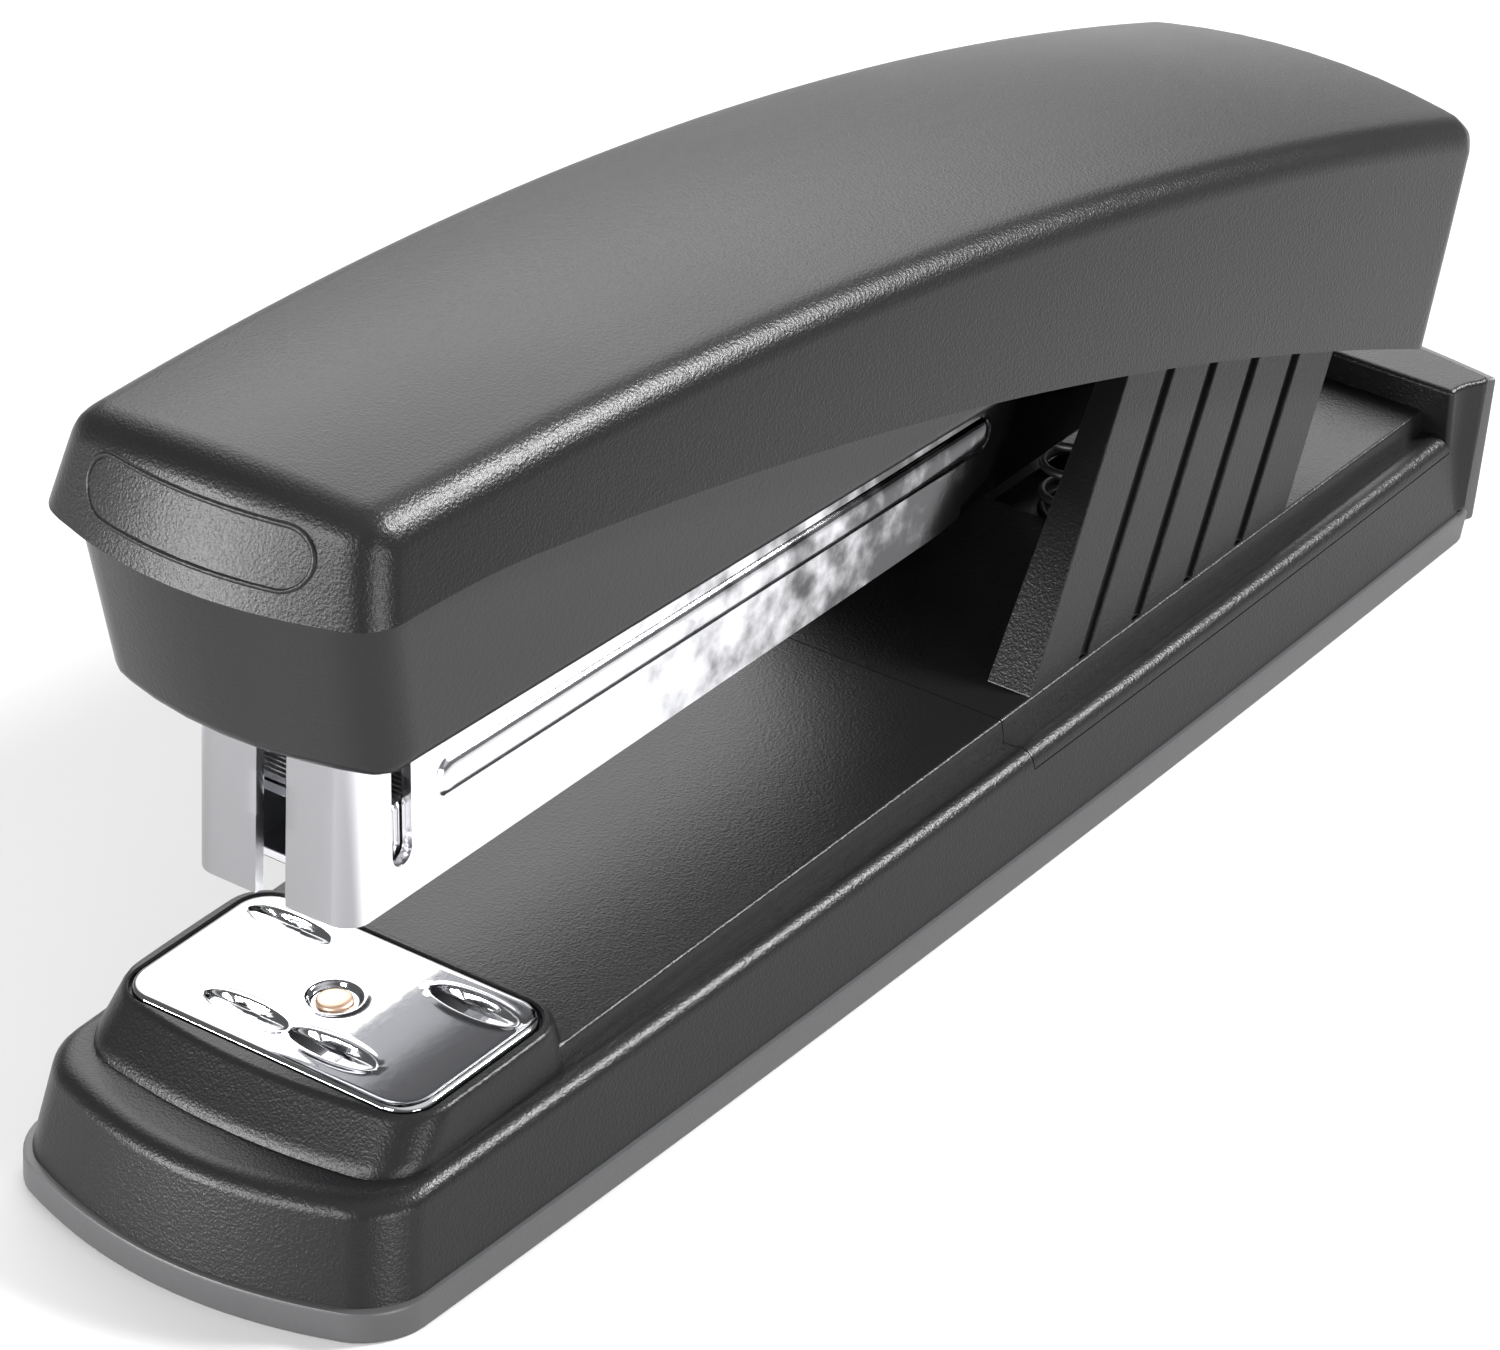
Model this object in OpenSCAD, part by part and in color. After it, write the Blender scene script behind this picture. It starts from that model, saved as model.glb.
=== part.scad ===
// Half-strip desktop stapler, nose towards -Y, rear towards +Y, standing on Z = 0.
// The hinge pin lies along X. Everything is drawn at rest: magazine up, handle closed on it.

/* [Base] */
// Overall length of the foot
base_len = 156.4; // [150:0.2:162]
// Half width of the grey foot at its ends
foot_half_w = 19.2; // [18.8:0.1:20]
// Height of the grey foot rim
foot_rim_h = 2.6; // [2.2:0.1:3]
// Height of the rounded shoulder along the base
shoulder_z = 10.05; // [9.6:0.05:10.5]
// Half width of the raised deck
deck_half_w = 14.9; // [14.4:0.1:15.4]
// Height of the raised deck
deck_z = 11.95; // [11.6:0.05:12.3]
// Where the rear bracket meets the front shell
seam_y = 6.8; // [4:0.2:9]
// Height of the wall at the rear end
rear_wall_z = 14.7; // [14:0.1:16]
// Wall thickness of the plastic shells
shell_t = 1.8; // [1.4:0.1:2.2]

/* [Anvil] */
// Half width of the anvil plate
plate_half_w = 13.9; // [12.5:0.1:14.2]
// Half depth of the anvil plate
plate_half_d = 8.45; // [7.5:0.05:8.6]
// Top of the anvil plate
plate_z = 14.2; // [14.1:0.05:14.6]
// How far the button lifts the anvil
anvil_lift = 1; // [0.6:0.1:1.2]

/* [Magazine] */
// Outer width of the magazine
mag_w = 15; // [14.8:0.1:15.4]
// Thickness of its steel
steel_t = 0.9; // [0.7:0.05:1]
// Underside of the magazine at the nose
mag_z = 26.2; // [25.8:0.1:27]
// Front of the magazine
mag_front_y = -64.5; // [-65:0.1:-64]
// Outer width of a staple
staple_w = 12.8; // [12.6:0.1:12.8]
// Height of a staple
staple_h = 6.4; // [6:0.1:6.5]
// Length of the strip of staples in the magazine
strip_len = 52; // [30:1:54]

/* [Handle] */
// Half width of the cover at its front lip
lip_half_w = 15.3; // [15:0.1:15.6]
// Half width of the cover at the rear
rear_half_w = 17.6; // [17:0.1:18]
// Wall of the cover
cover_t = 1.3; // [1.1:0.1:1.5]
// How much the cover's top is crowned
crown = 2.2; // [1:0.1:3]

/* [Hinge] */
// Hinge pin, distance behind the origin
pin_y = 56; // [55:0.5:57]
// Hinge pin, height
pin_z = 33; // [32:0.5:34]
// Hinge pin radius
pin_r = 2; // [1.8:0.1:2.2]

/* [Hidden] */
$fn = 48;

cover_screw_y = 2;
run_gap = 0.06;                                // radial clearance of running fits
eps = 0.02;
half_len = base_len / 2;
front_sag = 4.5;                               // the nose end of the foot is an arc this deep
rear_sag = 1.7;                                // so is the rear end
side_bulge = 0.45;                             // the sides bow outwards a little
floor_t = 1.4;
anvil_y = -57.7;
plate_t = 0.8;
platform_z = plate_z - plate_t - 0.1;          // the plate turns just above its platform
platform_rear_y = anvil_y + plate_half_d + 1.2;
wall_in_y = 70.8;                              // inner face of the rear wall
split_z = shoulder_z - 1.4;                    // the rear bracket ends this high on the sides
cheek_in = 10.6;                               // inner face of the bracket's cheeks
cheek_lean = 0.66;                             // they lean back this much for each mm of height
cheek_y0 = 11;
cheek_y1 = 49.1;
deck_under = deck_z - 1.9;
well_y = 31;                                   // slots in the deck for the steel ears start here
lift_y = 41;                                   // the spring that lifts the magazine
frame_t = 1.2;
ear_in = 9.5;
button_r = 5.6;
stem_r = 3;
rivet_r = 1.4;
half_mag = mag_w / 2;
mag_floor = mag_z + steel_t;
mag_top_front = 43.2;                           // top of its side walls at the nose
mag_top_rear = 41.8;
mag_top_rear_y = 18;
front_lean = 3;                                // degrees that the front plates lean back
staple_y = mag_front_y + 4.1;                  // front of the strip
wire = 0.5;
rail_half = staple_w / 2 - wire - 0.2;
rail_z = mag_floor + staple_h - wire - 0.15;
rail_t = 0.8;
slot_half = 1.9;
rod_z = mag_floor + 2.9;
rod_r = 1;
rod_y0 = -10.5;
rail_end = 46.5;
pusher_y = staple_y + strip_len + 0.15;
pusher_len = 12;
pusher_travel = 38;
tongue_y = pusher_y + 2.2;
press_deg = 5.6;                               // the handle's stroke about the pin
blade_y = -62.4;                               // driver blade's front face at its tip
blade_tip_z = 38.4;
top_front = [-66, 63.1];                       // the cover's upper side edge
top_rear = [73, 38.6];
low_front = [-68.5, 57];                       // and its lower one
low_rear = [65.5, 21];

// ---- outlines -------------------------------------------------------------

// Points of an arc from p to q that stands s off its chord, to the left when s is positive
function arc(p, q, s, n = 12) =
    let (d = q - p, c = norm(d), u = d / c, v = [-u[1], u[0]])
    let (r = (c * c / 4 + s * s) / (2 * abs(s)), a = asin(c / 2 / r))
    [for (i = [0 : n]) let (t = -a + 2 * a * i / n)
        p + u * (c / 2 + r * sin(t)) + v * sign(s) * (r * cos(t) - r + abs(s))];

// Plan outline with a bowed front, rear and sides; wf and wr are its half widths
module outline(wf, wr, yf, yr, sag_f, sag_r, bow = side_bulge, r = 2.5) {
    offset(r, $fn = 32) offset(delta = -r)
        polygon(concat(
            arc([-wf, yf + sag_f], [wf, yf + sag_f], -sag_f),
            arc([wf, yf + sag_f], [wr, yr - sag_r], -bow),
            arc([wr, yr - sag_r], [-wr, yr - sag_r], -sag_r),
            arc([-wr, yr - sag_r], [-wf, yf + sag_f], -bow)));
}

// Thin slab of a plan outline, used between hulls
module slab(z) {
    translate([0, 0, z]) linear_extrude(eps) children();
}

// Base outline moved in by d all round, with its ends at yf and yr
module base_plan(d, yf = -half_len, yr = half_len - 2.9) {
    outline(foot_half_w - d, foot_half_w - d, yf, yr, front_sag, rear_sag);
}

// Extrudes a (Y, Z) profile across the width w
module across(w) {
    rotate([90, 0, 90]) linear_extrude(w, center = true) children();
}

// Extrudes an (X, Z) profile from y0 to y1
module along(y0, y1) {
    translate([0, y1, 0]) rotate([90, 0, 0]) linear_extrude(y1 - y0) children();
}

module box(lo, hi) {
    translate(lo) cube(hi - lo);
}

// Both sides alike
module mirrored() {
    children();
    mirror([1, 0, 0]) children();
}

// Rod or tube along X through the hinge
module hinge_cyl(r, x0, x1) {
    translate([x0, pin_y, pin_z]) rotate([0, 90, 0]) cylinder(r = r, h = x1 - x0);
}

// ---- base -----------------------------------------------------------------

screw_x = 11;
screw_y = [-38, 60];
screw_spots = [for (x = [-screw_x, screw_x], y = screw_y) [x, y]];

module foot_pan() {
    color([0.42, 0.42, 0.43]) {
        difference() {
            union() {
                linear_extrude(floor_t) base_plan(0);
                difference() {
                    linear_extrude(foot_rim_h) base_plan(0.05);
                    translate([0, 0, floor_t]) linear_extrude(5) base_plan(2.4, -half_len + 2.4, half_len - 5.3);
                }
            }
            translate([0, anvil_y, -1]) cylinder(r = button_r + 0.4, h = 5);
            for (s = screw_spots) {
                translate([s[0], s[1], -1]) cylinder(r = 1.55, h = 5);
                translate([s[0], s[1], -1]) cylinder(r = 3, h = 1.6);
            }
        }
        rear_skin();
    }
}

// The grey skin that wraps up the rear wall
module rear_skin() {
    difference() {
        hull() {
            slab(foot_rim_h - eps) base_plan(0.05);
            slab(rear_wall_z - 0.5) outline(19, 19.1, -half_len, half_len, front_sag, rear_sag);
        }
        hull() {
            slab(foot_rim_h - 2 * eps) base_plan(0.4, -half_len, half_len - 4);
            slab(rear_wall_z) outline(18.5, 18.6, -half_len, half_len - 1.1, front_sag, rear_sag);
        }
        box([-30, -100, -1], [30, 74.6, 30]);
    }
}

// Outer form of the black base: drafted sides, shoulder, deck and anvil platform
module base_form() {
    hull() {
        slab(foot_rim_h) base_plan(0.5, -half_len + 0.7, half_len - 4.3);
        slab(shoulder_z - 1.1) base_plan(1.35, -half_len + 3.6, half_len - 3);
        slab(shoulder_z - 0.3) base_plan(1.75, -half_len + 4.5, half_len - 2.7);
        slab(shoulder_z) base_plan(2.3, -half_len + 5.2, half_len - 3.2);
        slab(deck_z - 1.2) base_plan(foot_half_w - deck_half_w, -half_len + 7.3, wall_in_y);
    }
    translate([0, 0, shoulder_z]) linear_extrude(deck_z - shoulder_z)
        outline(deck_half_w, deck_half_w, platform_rear_y - 4, wall_in_y + 1, 0.1, 0.1, 0.05, 0.6);
    hull() {
        slab(deck_z - 1.2) outline(15.3, 15.3, -70.6, platform_rear_y + 0.6, 2.6, 0.1, 0.1);
        slab(platform_z - eps) outline(14.5, 14.5, -67.4, platform_rear_y - 0.4, 0.8, 0.1, 0.1);
    }
}

// Hollow inside the base, open below
module base_hollow() {
    hull() {
        slab(foot_rim_h - 1) base_plan(0.5 + shell_t, -half_len + 2.5, half_len - 6.3);
        slab(deck_under) base_plan(foot_half_w - deck_half_w + shell_t, -half_len + 10, wall_in_y - shell_t);
    }
}

// The bracket's share of the base form
module bracket_region() {
    box([-30, seam_y, split_z], [30, 100, 60]);
}

module base_shell() {
    color([0.13, 0.13, 0.14])
        difference() {
            base_form();
            base_hollow();
            translate([0, 0, -0.001]) bracket_region();
            translate([0, anvil_y, 0]) cylinder(r = stem_r + run_gap, h = 20);
        }
    color([0.13, 0.13, 0.14]) screw_posts(screw_y[0]);
}

// Posts that take the screws from below
module screw_posts(y) {
    for (x = [-screw_x, screw_x])
        translate([x, y, floor_t + 0.02])
            difference() {
                cylinder(r = 2.9, h = deck_under + 0.2 - floor_t);
                translate([0, 0, -1]) cylinder(r = 1.1, h = 7);
            }
}

// One ribbed cheek, in side view
module cheek_profile() {
    rear_top = cheek_y1 + cheek_lean * (pin_z - deck_z) * 0.72;
    polygon([
        [cheek_y0, deck_z - 1],
        [cheek_y1, deck_z - 1],
        [cheek_y1, deck_z],
        [rear_top, deck_z + (pin_z - deck_z) * 0.72],
        [pin_y, pin_z + 4],
        [cheek_y0 + cheek_lean * 26, deck_z + 26],
        [cheek_y0, deck_z]]);
    translate([pin_y, pin_z]) circle(6.4);
}

module cheek() {
    groove_w = 1.1;
    groove_step = 7.7;
    difference() {
        intersection() {
            across(60) cheek_profile();
            along(cheek_y0 - 1, pin_y + 10)
                polygon([[cheek_in, 9], [14.85, 9], [14.85, deck_z], [13.1, 36], [12.7, 40], [cheek_in, 40]]);
        }
        for (i = [1 : 4])
            translate([0, cheek_y0 + i * groove_step, deck_z])
                multmatrix([[1, 0, -0.0727, 0], [0, 1, cheek_lean, 0], [0, 0, 1, 0], [0, 0, 0, 1]])
                    box([14.05, -groove_w / 2, -0.01], [16, groove_w / 2, 40]);
        hinge_cyl(pin_r, cheek_in - 1, 20);
    }
}

module rear_bracket() {
    color([0.12, 0.12, 0.13]) {
        difference() {
            intersection() {
                union() {
                    base_form();
                    rear_wall();
                }
                bracket_region();
            }
            translate([0, 0, -0.02]) base_hollow();
            box([-5.5, lift_y - 5.5, 5], [5.5, 47, 30]);
            mirrored() box([ear_in - 0.3, well_y, 5], [cheek_in, 47, 30]);
        }
        mirrored() cheek();
        screw_posts(screw_y[1]);
    }
}

// The black wall that stands above the deck at the rear
module rear_wall() {
    difference() {
        hull() {
            slab(split_z) outline(17.8, 17.9, -half_len + 5, half_len - 3, front_sag, rear_sag);
            slab(rear_wall_z - eps) outline(18.2, 18.3, -half_len + 5, half_len - 1.35, front_sag, rear_sag);
        }
        box([-30, -100, 0], [30, wall_in_y, 30]);
    }
}

// Steel channel inside the base, with the two ears that carry the hinge pin
module base_frame() {
    color([0.62, 0.63, 0.65])
        difference() {
            union() {
                box([-11.4, -66, deck_under - frame_t - 0.05], [11.4, 52, deck_under - 0.05]);
                mirrored() box([10.2, -50, floor_t + 0.05], [11.4, 52, deck_under - 0.05]);
                mirrored() frame_ear();
            }
            translate([0, anvil_y, 0]) cylinder(r = stem_r + run_gap, h = 20);
            for (s = screw_spots)
                translate([s[0], s[1], 0]) cylinder(r = 3.3, h = 20);
        }
}

module frame_ear() {
    difference() {
        intersection() {
            across(60) {
                polygon([[well_y + 1, deck_under - frame_t], [46, deck_under - frame_t], [46, 14],
                    [61, pin_z - 2], [pin_y, pin_z + 4], [40, pin_z + 1], [well_y + 1, 16]]);
                translate([pin_y, pin_z]) circle(5.4);
            }
            box([ear_in, 0, 0], [cheek_in - 0.05, 100, 60]);
        }
        hinge_cyl(pin_r, 0, 20);
    }
}

module base_screws() {
    color([0.7, 0.7, 0.72])
        for (s = screw_spots)
            translate([s[0], s[1], 0])
                difference() {
                    union() {
                        translate([0, 0, 0.15]) cylinder(r = 2.8, h = 0.44);
                        translate([0, 0, 0.4]) cylinder(r = 1.1, h = 6.4);
                    }
                    box([-1.7, -0.3, 0], [1.7, 0.3, 0.45]);
                    box([-0.3, -1.7, 0], [0.3, 1.7, 0.45]);
                }
}

module hinge_pin() {
    color([0.75, 0.75, 0.76])
        hinge_cyl(pin_r, -14.5, 14.5);
}

// Push-on clips that keep the pin in place
module pin_clips() {
    color([0.6, 0.6, 0.62])
        mirrored()
            difference() {
                hinge_cyl(3.6, 13.65, 14.1);
                hinge_cyl(pin_r, 13, 15);
            }
}

// Plain sleeve that stands for a coil spring
module coil(r_out, r_in, h) {
    difference() {
        cylinder(r = r_out, h = h);
        translate([0, 0, -1]) cylinder(r = r_in, h = h + 2);
    }
}

module return_spring() {
    color([0.7, 0.7, 0.72])
        translate([0, lift_y, deck_under]) coil(4, 3.2, mag_z - deck_under);
}

module anvil_spring() {
    color([0.7, 0.7, 0.72])
        translate([0, anvil_y, 2.4]) coil(4.6, 3.7, deck_under - frame_t - 0.1 - 2.4);
}

// ---- anvil ----------------------------------------------------------------

// Button below the base; its stem carries the anvil
module anvil_button() {
    color([0.2, 0.2, 0.21])
        difference() {
            union() {
                translate([0, anvil_y, 0.4]) cylinder(r = button_r, h = 2);
                translate([0, anvil_y, floor_t + 0.05]) cylinder(r = button_r + 1.4, h = 0.9);
                translate([0, anvil_y, 2]) cylinder(r = stem_r, h = platform_z - 2 + 0.05);
            }
            translate([0, anvil_y, 5]) cylinder(r = rivet_r + run_gap, h = 12);
            translate([0, anvil_y, -1]) cylinder(r = button_r - 1.4, h = 1.8);
        }
}

// Almond-shaped groove that bends a staple's leg; its bottom is round
module clinch_groove(x, y, l, depth) {
    r = (l * l / 4 + depth * depth) / (2 * depth);
    translate([x, y, plate_z - depth + r])
        rotate([90, 0, 0])
            intersection() {
                cylinder(r = r, h = 1.9, center = true, $fn = 128);
                translate([0, depth - r, 0]) cube([l, 4 * depth, 1.9], center = true);
            }
}

module anvil_plate() {
    color([0.86, 0.86, 0.87])
        difference() {
            translate([0, anvil_y, plate_z - plate_t])
                linear_extrude(plate_t)
                    offset(3) square([2 * plate_half_w - 6, 2 * plate_half_d - 6], center = true);
            for (s = [-1, 1]) {
                clinch_groove(s * 4.1, anvil_y - 5.2, 7.4, 0.62);
                clinch_groove(s * 8.8, anvil_y + 5.3, 7.4, 0.62);
            }
            translate([0, anvil_y, plate_z - 0.45]) cylinder(r = 2, h = 2);
            translate([0, anvil_y, 0]) cylinder(r = rivet_r, h = 20);
        }
}

module anvil_rivet() {
    color([0.8, 0.55, 0.42])
        translate([0, anvil_y, 0]) {
            translate([0, 0, plate_z - 0.45]) cylinder(r1 = 1.75, r2 = 1.5, h = 0.35);
            translate([0, 0, 5.1]) cylinder(r = rivet_r, h = plate_z - 0.2 - 5.1);
        }
}

// ---- magazine -------------------------------------------------------------

// Side wall, drawn as its (Y, Z) profile
module wall_profile() {
    polygon([
        [mag_front_y, mag_z],
        [8, mag_z - 0.5],
        [14, mag_z + 0.2],
        [46, mag_z + 0.6],
        [pin_y + 4, pin_z - 3.5],
        [pin_y + 4, pin_z + 3.5],
        [pin_y - 6, pin_z + 3.6],
        [mag_top_rear_y, mag_top_rear],
        [mag_front_y + (mag_top_front - mag_z) * tan(front_lean), mag_top_front]]);
    translate([pin_y, pin_z]) circle(4.8);
}

// Raised bead pressed out of the side wall
module bead() {
    y0 = -53.4;
    y1 = 13.8;
    slope = -1.5;
    translate([half_mag - 0.3, y0, 34.1]) rotate([slope, 0, 0]) {
        difference() {
            hull() {
                rotate([0, 90, 0]) cylinder(r = 1.45, h = 0.85, $fn = 32);
                translate([0, y1 - y0, 0]) rotate([0, 90, 0]) cylinder(r = 1.45, h = 0.85, $fn = 32);
            }
        }
    }
}

module magazine_channel() {
    color([0.86, 0.86, 0.88])
        difference() {
            union() {
                mirrored()
                    intersection() {
                        across(60) wall_profile();
                        box([half_mag - steel_t, -70, 0], [half_mag, 80, 60]);
                    }
                // floor
                box([-half_mag + 0.1, mag_front_y + 4, mag_z], [half_mag - 0.1, 51.5, mag_floor]);
                // front plates
                intersection() {
                    across(mag_w) wall_profile();
                    translate([0, mag_front_y, mag_z]) rotate([-front_lean, 0, 0])
                        box([-half_mag, 0, -1], [half_mag, steel_t, 20]);
                }
                mirrored() bead();
            }
            // gap between the front plates
            box([-1.35, -70, 20], [1.35, mag_front_y + 3, 50]);
            // upright slots near the nose
            slots();
            // vertical edges rounded over
            mirrored() round_edge();
            hinge_cyl(pin_r + run_gap, -20, 20);
        }
}

module slots() {
    slot_y = -58.7;
    slot_r = 1.2;
    for (s = [-1, 1]) {
        translate([s * half_mag, slot_y, 30.2]) rotate([0, 90, 0]) cylinder(r = slot_r, h = 2.2, center = true);
        box([s * half_mag - 1.1, slot_y - slot_r, 30.2], [s * half_mag + 1.1, slot_y + slot_r, 38.8]);
    }
}

// Cutter that rounds the upright edge of the magazine's nose
module round_edge() {
    r = 2;
    translate([0, mag_front_y, mag_z]) rotate([-front_lean, 0, 0])
        difference() {
            box([half_mag - r, -2, -2], [half_mag + 2, r, 20]);
            translate([half_mag - r, r, -3]) cylinder(r = r, h = 30);
        }
}

module staple_rail() {
    color([0.7, 0.71, 0.73])
        difference() {
            union() {
                difference() {
                    box([-rail_half, staple_y, mag_floor], [rail_half, rail_end + 1.5, rail_z]);
                    box([-rail_half + rail_t, staple_y - 1, mag_floor - 1],
                        [rail_half - rail_t, rail_end + 3, rail_z - rail_t]);
                    box([-slot_half, tongue_y - 0.5, mag_floor],
                        [slot_half, tongue_y + pusher_travel + 4.4, rail_z + 1]);
                }
                box([-rail_half + 0.4, rod_y0, mag_floor + 0.05], [rail_half - 0.4, rod_y0 + 1.5, rail_z - 0.3]);
                box([-rail_half + 0.4, rail_end, mag_floor + 0.05], [rail_half - 0.4, rail_end + 1.5, rail_z - 0.3]);
            }
            translate([0, rod_y0 - 1, rod_z]) rotate([-90, 0, 0]) cylinder(r = rod_r, h = 60);
        }
}

// One strip of staples: crown and two legs
module staple_strip() {
    color([0.8, 0.8, 0.82])
        along(staple_y, staple_y + strip_len)
            difference() {
                translate([-staple_w / 2, mag_floor + 0.05]) square([staple_w, staple_h]);
                translate([-staple_w / 2 + wire, mag_floor - 1]) square([staple_w - 2 * wire, staple_h + 1.05 - wire]);
            }
}

module pusher_rod() {
    color([0.75, 0.75, 0.76])
        translate([0, rod_y0 + 0.1, rod_z]) rotate([-90, 0, 0]) cylinder(r = rod_r, h = rail_end + 1.3 - rod_y0);
}

module pusher_spring() {
    y0 = tongue_y + 3.2;
    color([0.7, 0.7, 0.72])
        translate([0, y0, rod_z]) rotate([-90, 0, 0]) coil(1.9, 1.35, rail_end - y0);
}

// Pusher behind the strip; its tongue runs in the rail's slot, on the rod
module pusher() {
    half_in = rail_half + 0.25;
    half_out = half_mag - steel_t - 0.3;
    color([0.16, 0.16, 0.17])
        difference() {
            union() {
                difference() {
                    box([-half_out, pusher_y, mag_floor + 0.3], [half_out, pusher_y + pusher_len, rail_z + 3]);
                    box([-half_in, pusher_y - 1, mag_floor - 1], [half_in, pusher_y + pusher_len + 1, rail_z + 0.25]);
                }
                box([-slot_half + 0.2, tongue_y, rod_z - 1.7], [slot_half - 0.2, tongue_y + 3, rail_z + 1]);
            }
            translate([0, pusher_y, rod_z]) rotate([-90, 0, 0]) cylinder(r = rod_r + run_gap, h = 20, center = true);
        }
}

// Round wire of radius r between two (Y, Z) points at x
module wire_leg(x, p, q, r) {
    d = q - p;
    translate([x, p[0], p[1]]) rotate([90 + atan2(-d[1], -d[0]), 0, 0]) cylinder(r = r, h = norm(d));
}

// Torsion spring round the hinge pin; one leg on the magazine's floor, one under the lever
module handle_spring() {
    r = 0.4;
    color([0.7, 0.7, 0.72]) {
        difference() {
            hinge_cyl(3.3, -4.5, 4.5);
            hinge_cyl(2.5, -5, 5);
        }
        wire_leg(-4.1, [pin_y - 0.6, pin_z - 2.85], [49.3, mag_floor + 0.45], r);
        wire_leg(4.1, [pin_y - 1, pin_z + 2.75], [42.5, 40.4], r);
    }
}

// ---- handle ---------------------------------------------------------------

// Steel lever under the cover: web on top, flanges down to the pin
module handle_frame() {
    web_front = -60.5;
    color([0.62, 0.63, 0.65])
        difference() {
            intersection() {
                across(60)
                    polygon(concat([[web_front, 56.8], [-20, 54.4], [20, 48.2], [pin_y - 4, 39.6]],
                        [for (a = [70 : -10 : -110]) [pin_y + 5 * cos(a), pin_z + 5 * sin(a)]],
                        [[pin_y - 6, pin_z - 2.2], [20, 42.8], [-20, 49], [web_front, 52.6]]));
                box([-9.1, -80, 0], [9.1, 80, 80]);
            }
            across(16.2)
                polygon([[web_front - 1, 55.8], [-20, 53.3], [20, 47.1], [pin_y - 7, 39.4], [pin_y + 12, 39.4],
                    [pin_y + 12, 10], [pin_y - 20, 10], [20, 20], [web_front - 1, 20]]);
            hinge_cyl(pin_r + run_gap, -20, 20);
            driver_holes();
            translate([0, cover_screw_y, 40]) cylinder(r = 1.4, h = 20);
        }
}

rivet_spots = [-3.5, 3.5];

module driver_holes() {
    for (x = rivet_spots)
        translate([x, -57.4, 50]) cylinder(r = 1.05, h = 10);
}

// The blade leans back at rest and stands upright when the handle is down
module driver_blade() {
    blade_half = 6.25;
    blade_t = 0.5;
    top_z = 54.6;
    back = (top_z - blade_tip_z) * tan(press_deg);
    color([0.78, 0.78, 0.8])
        difference() {
            across(2 * blade_half)
                polygon([
                    [blade_y, blade_tip_z],
                    [blade_y + blade_t, blade_tip_z],
                    [blade_y + blade_t + back, top_z],
                    [-54.5, top_z],
                    [-54.5, top_z + 0.6],
                    [blade_y + back, top_z + 0.6]]);
            driver_holes();
        }
}

module driver_rivets() {
    color([0.75, 0.75, 0.76])
        for (x = rivet_spots)
            translate([x, -57.4, 0]) {
                translate([0, 0, 54]) cylinder(r = 1.05, h = 3);
                translate([0, 0, 53.9]) cylinder(r = 1.9, h = 0.7);
                translate([0, 0, 56.9]) cylinder(r = 1.9, h = 0.7);
            }
}

// Smooth housing round the nose
module nose_housing() {
    wall = 1.5;
    bottom_front = 41.8;
    bottom_rear = 38.9;
    rear_y = 16;
    color([0.16, 0.16, 0.165])
        difference() {
            hull() {
                slab(36) housing_plan(12.7, -68.1, rear_y);
                slab(56) housing_plan(13.8, -71.6, rear_y);
                slab(57.6) housing_plan(13.2, -70.8, rear_y);
            }
            difference() {
                hull() {
                    slab(35) housing_plan(12.7 - wall, -68.1 + wall, rear_y + 9);
                    slab(56) housing_plan(13.8 - wall, -71.6 + wall, rear_y + 9);
                    slab(58) housing_plan(13 - wall, -70.6 + wall, rear_y + 9);
                }
                // ribs that sit on the lever's flanges
                mirrored() box([9.12, -41, 50.9], [20, -39.6, 54]);
                mirrored() box([9.12, -11, 47.8], [20, -9.6, 51]);
            }
            across(60) polygon([[-90, 0], [60, 0], [60, 36.8], [8, bottom_rear], [-65, bottom_front], [-90, bottom_front]]);
            across(60) polygon(concat([[-90, 80], [-90, 57.5]], [for (p = housing_top) p], [[40, 80]]));
        }
}

housing_top = [[-60, 57.5], [-40, 54.8], [-10, 50], [10, 44.8], [40, 36]];

module housing_plan(w, yf, yr) {
    outline(w, w + 0.2, yf, yr, 3, 0.1, 0.1, 2.6);
}

// Half width of the cover at y, at its upper or lower edge
function cover_w(y, low) =
    let (t = (y + 73.5) / 147, f = 1 - pow(1 - min(max(t, 0), 1), 1.6))
    low ? lip_half_w + (rear_half_w + 0.2 - lip_half_w) * f : 13.6 + (rear_half_w - 0.8 - 13.6) * f;

// Cross-section of the cover at y, moved in by d; its top is crowned
module cover_section(y, d) {
    k = (y - top_front[0]) / (top_rear[0] - top_front[0]);
    z_top = top_front[1] + (top_rear[1] - top_front[1]) * k + 5.2 * (1 - pow(2 * k - 1, 2));
    w = cover_w(y, false) - d;
    w_low = cover_w(y, true) - d;
    z_low = min(z_top - 7, 22);
    drop = 0.13 * (z_top - z_low);
    polygon(concat(
        [[-w_low - 0.1, z_low], [w_low + 0.1, z_low], [w_low, z_top - 6.8]],
        [for (i = [0 : 8]) let (x = w - 2 * w * i / 8) [x, z_top - d - 0.4 + crown * (1 - pow(x / w, 2))]],
        [[-w_low, z_top - 6.8]]));
}

// Solid form of the cover, moved in by d
module cover_form(d) {
    intersection() {
        hull()
            for (y = [-73.4, -66, -50, -34, -16, 4, 24, 44, 62, 76])
                along(y, y + eps) cover_section(y, d);
        hull() {
            slab(15) outline(16.2 - d, 18.6 - d, -73.5 + d, 66 - d, 3.4, 1.2, 1);
            slab(56.2) outline(16.2 - d, 18.6 - d, -73.5 + d, 83 - d, 3.4, 1.2, 1);
            slab(70) outline(13.4 - d, 18 - d, -67.7 + d, 88 - d, 1.8, 1.2, 2);
        }
    }
}

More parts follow.
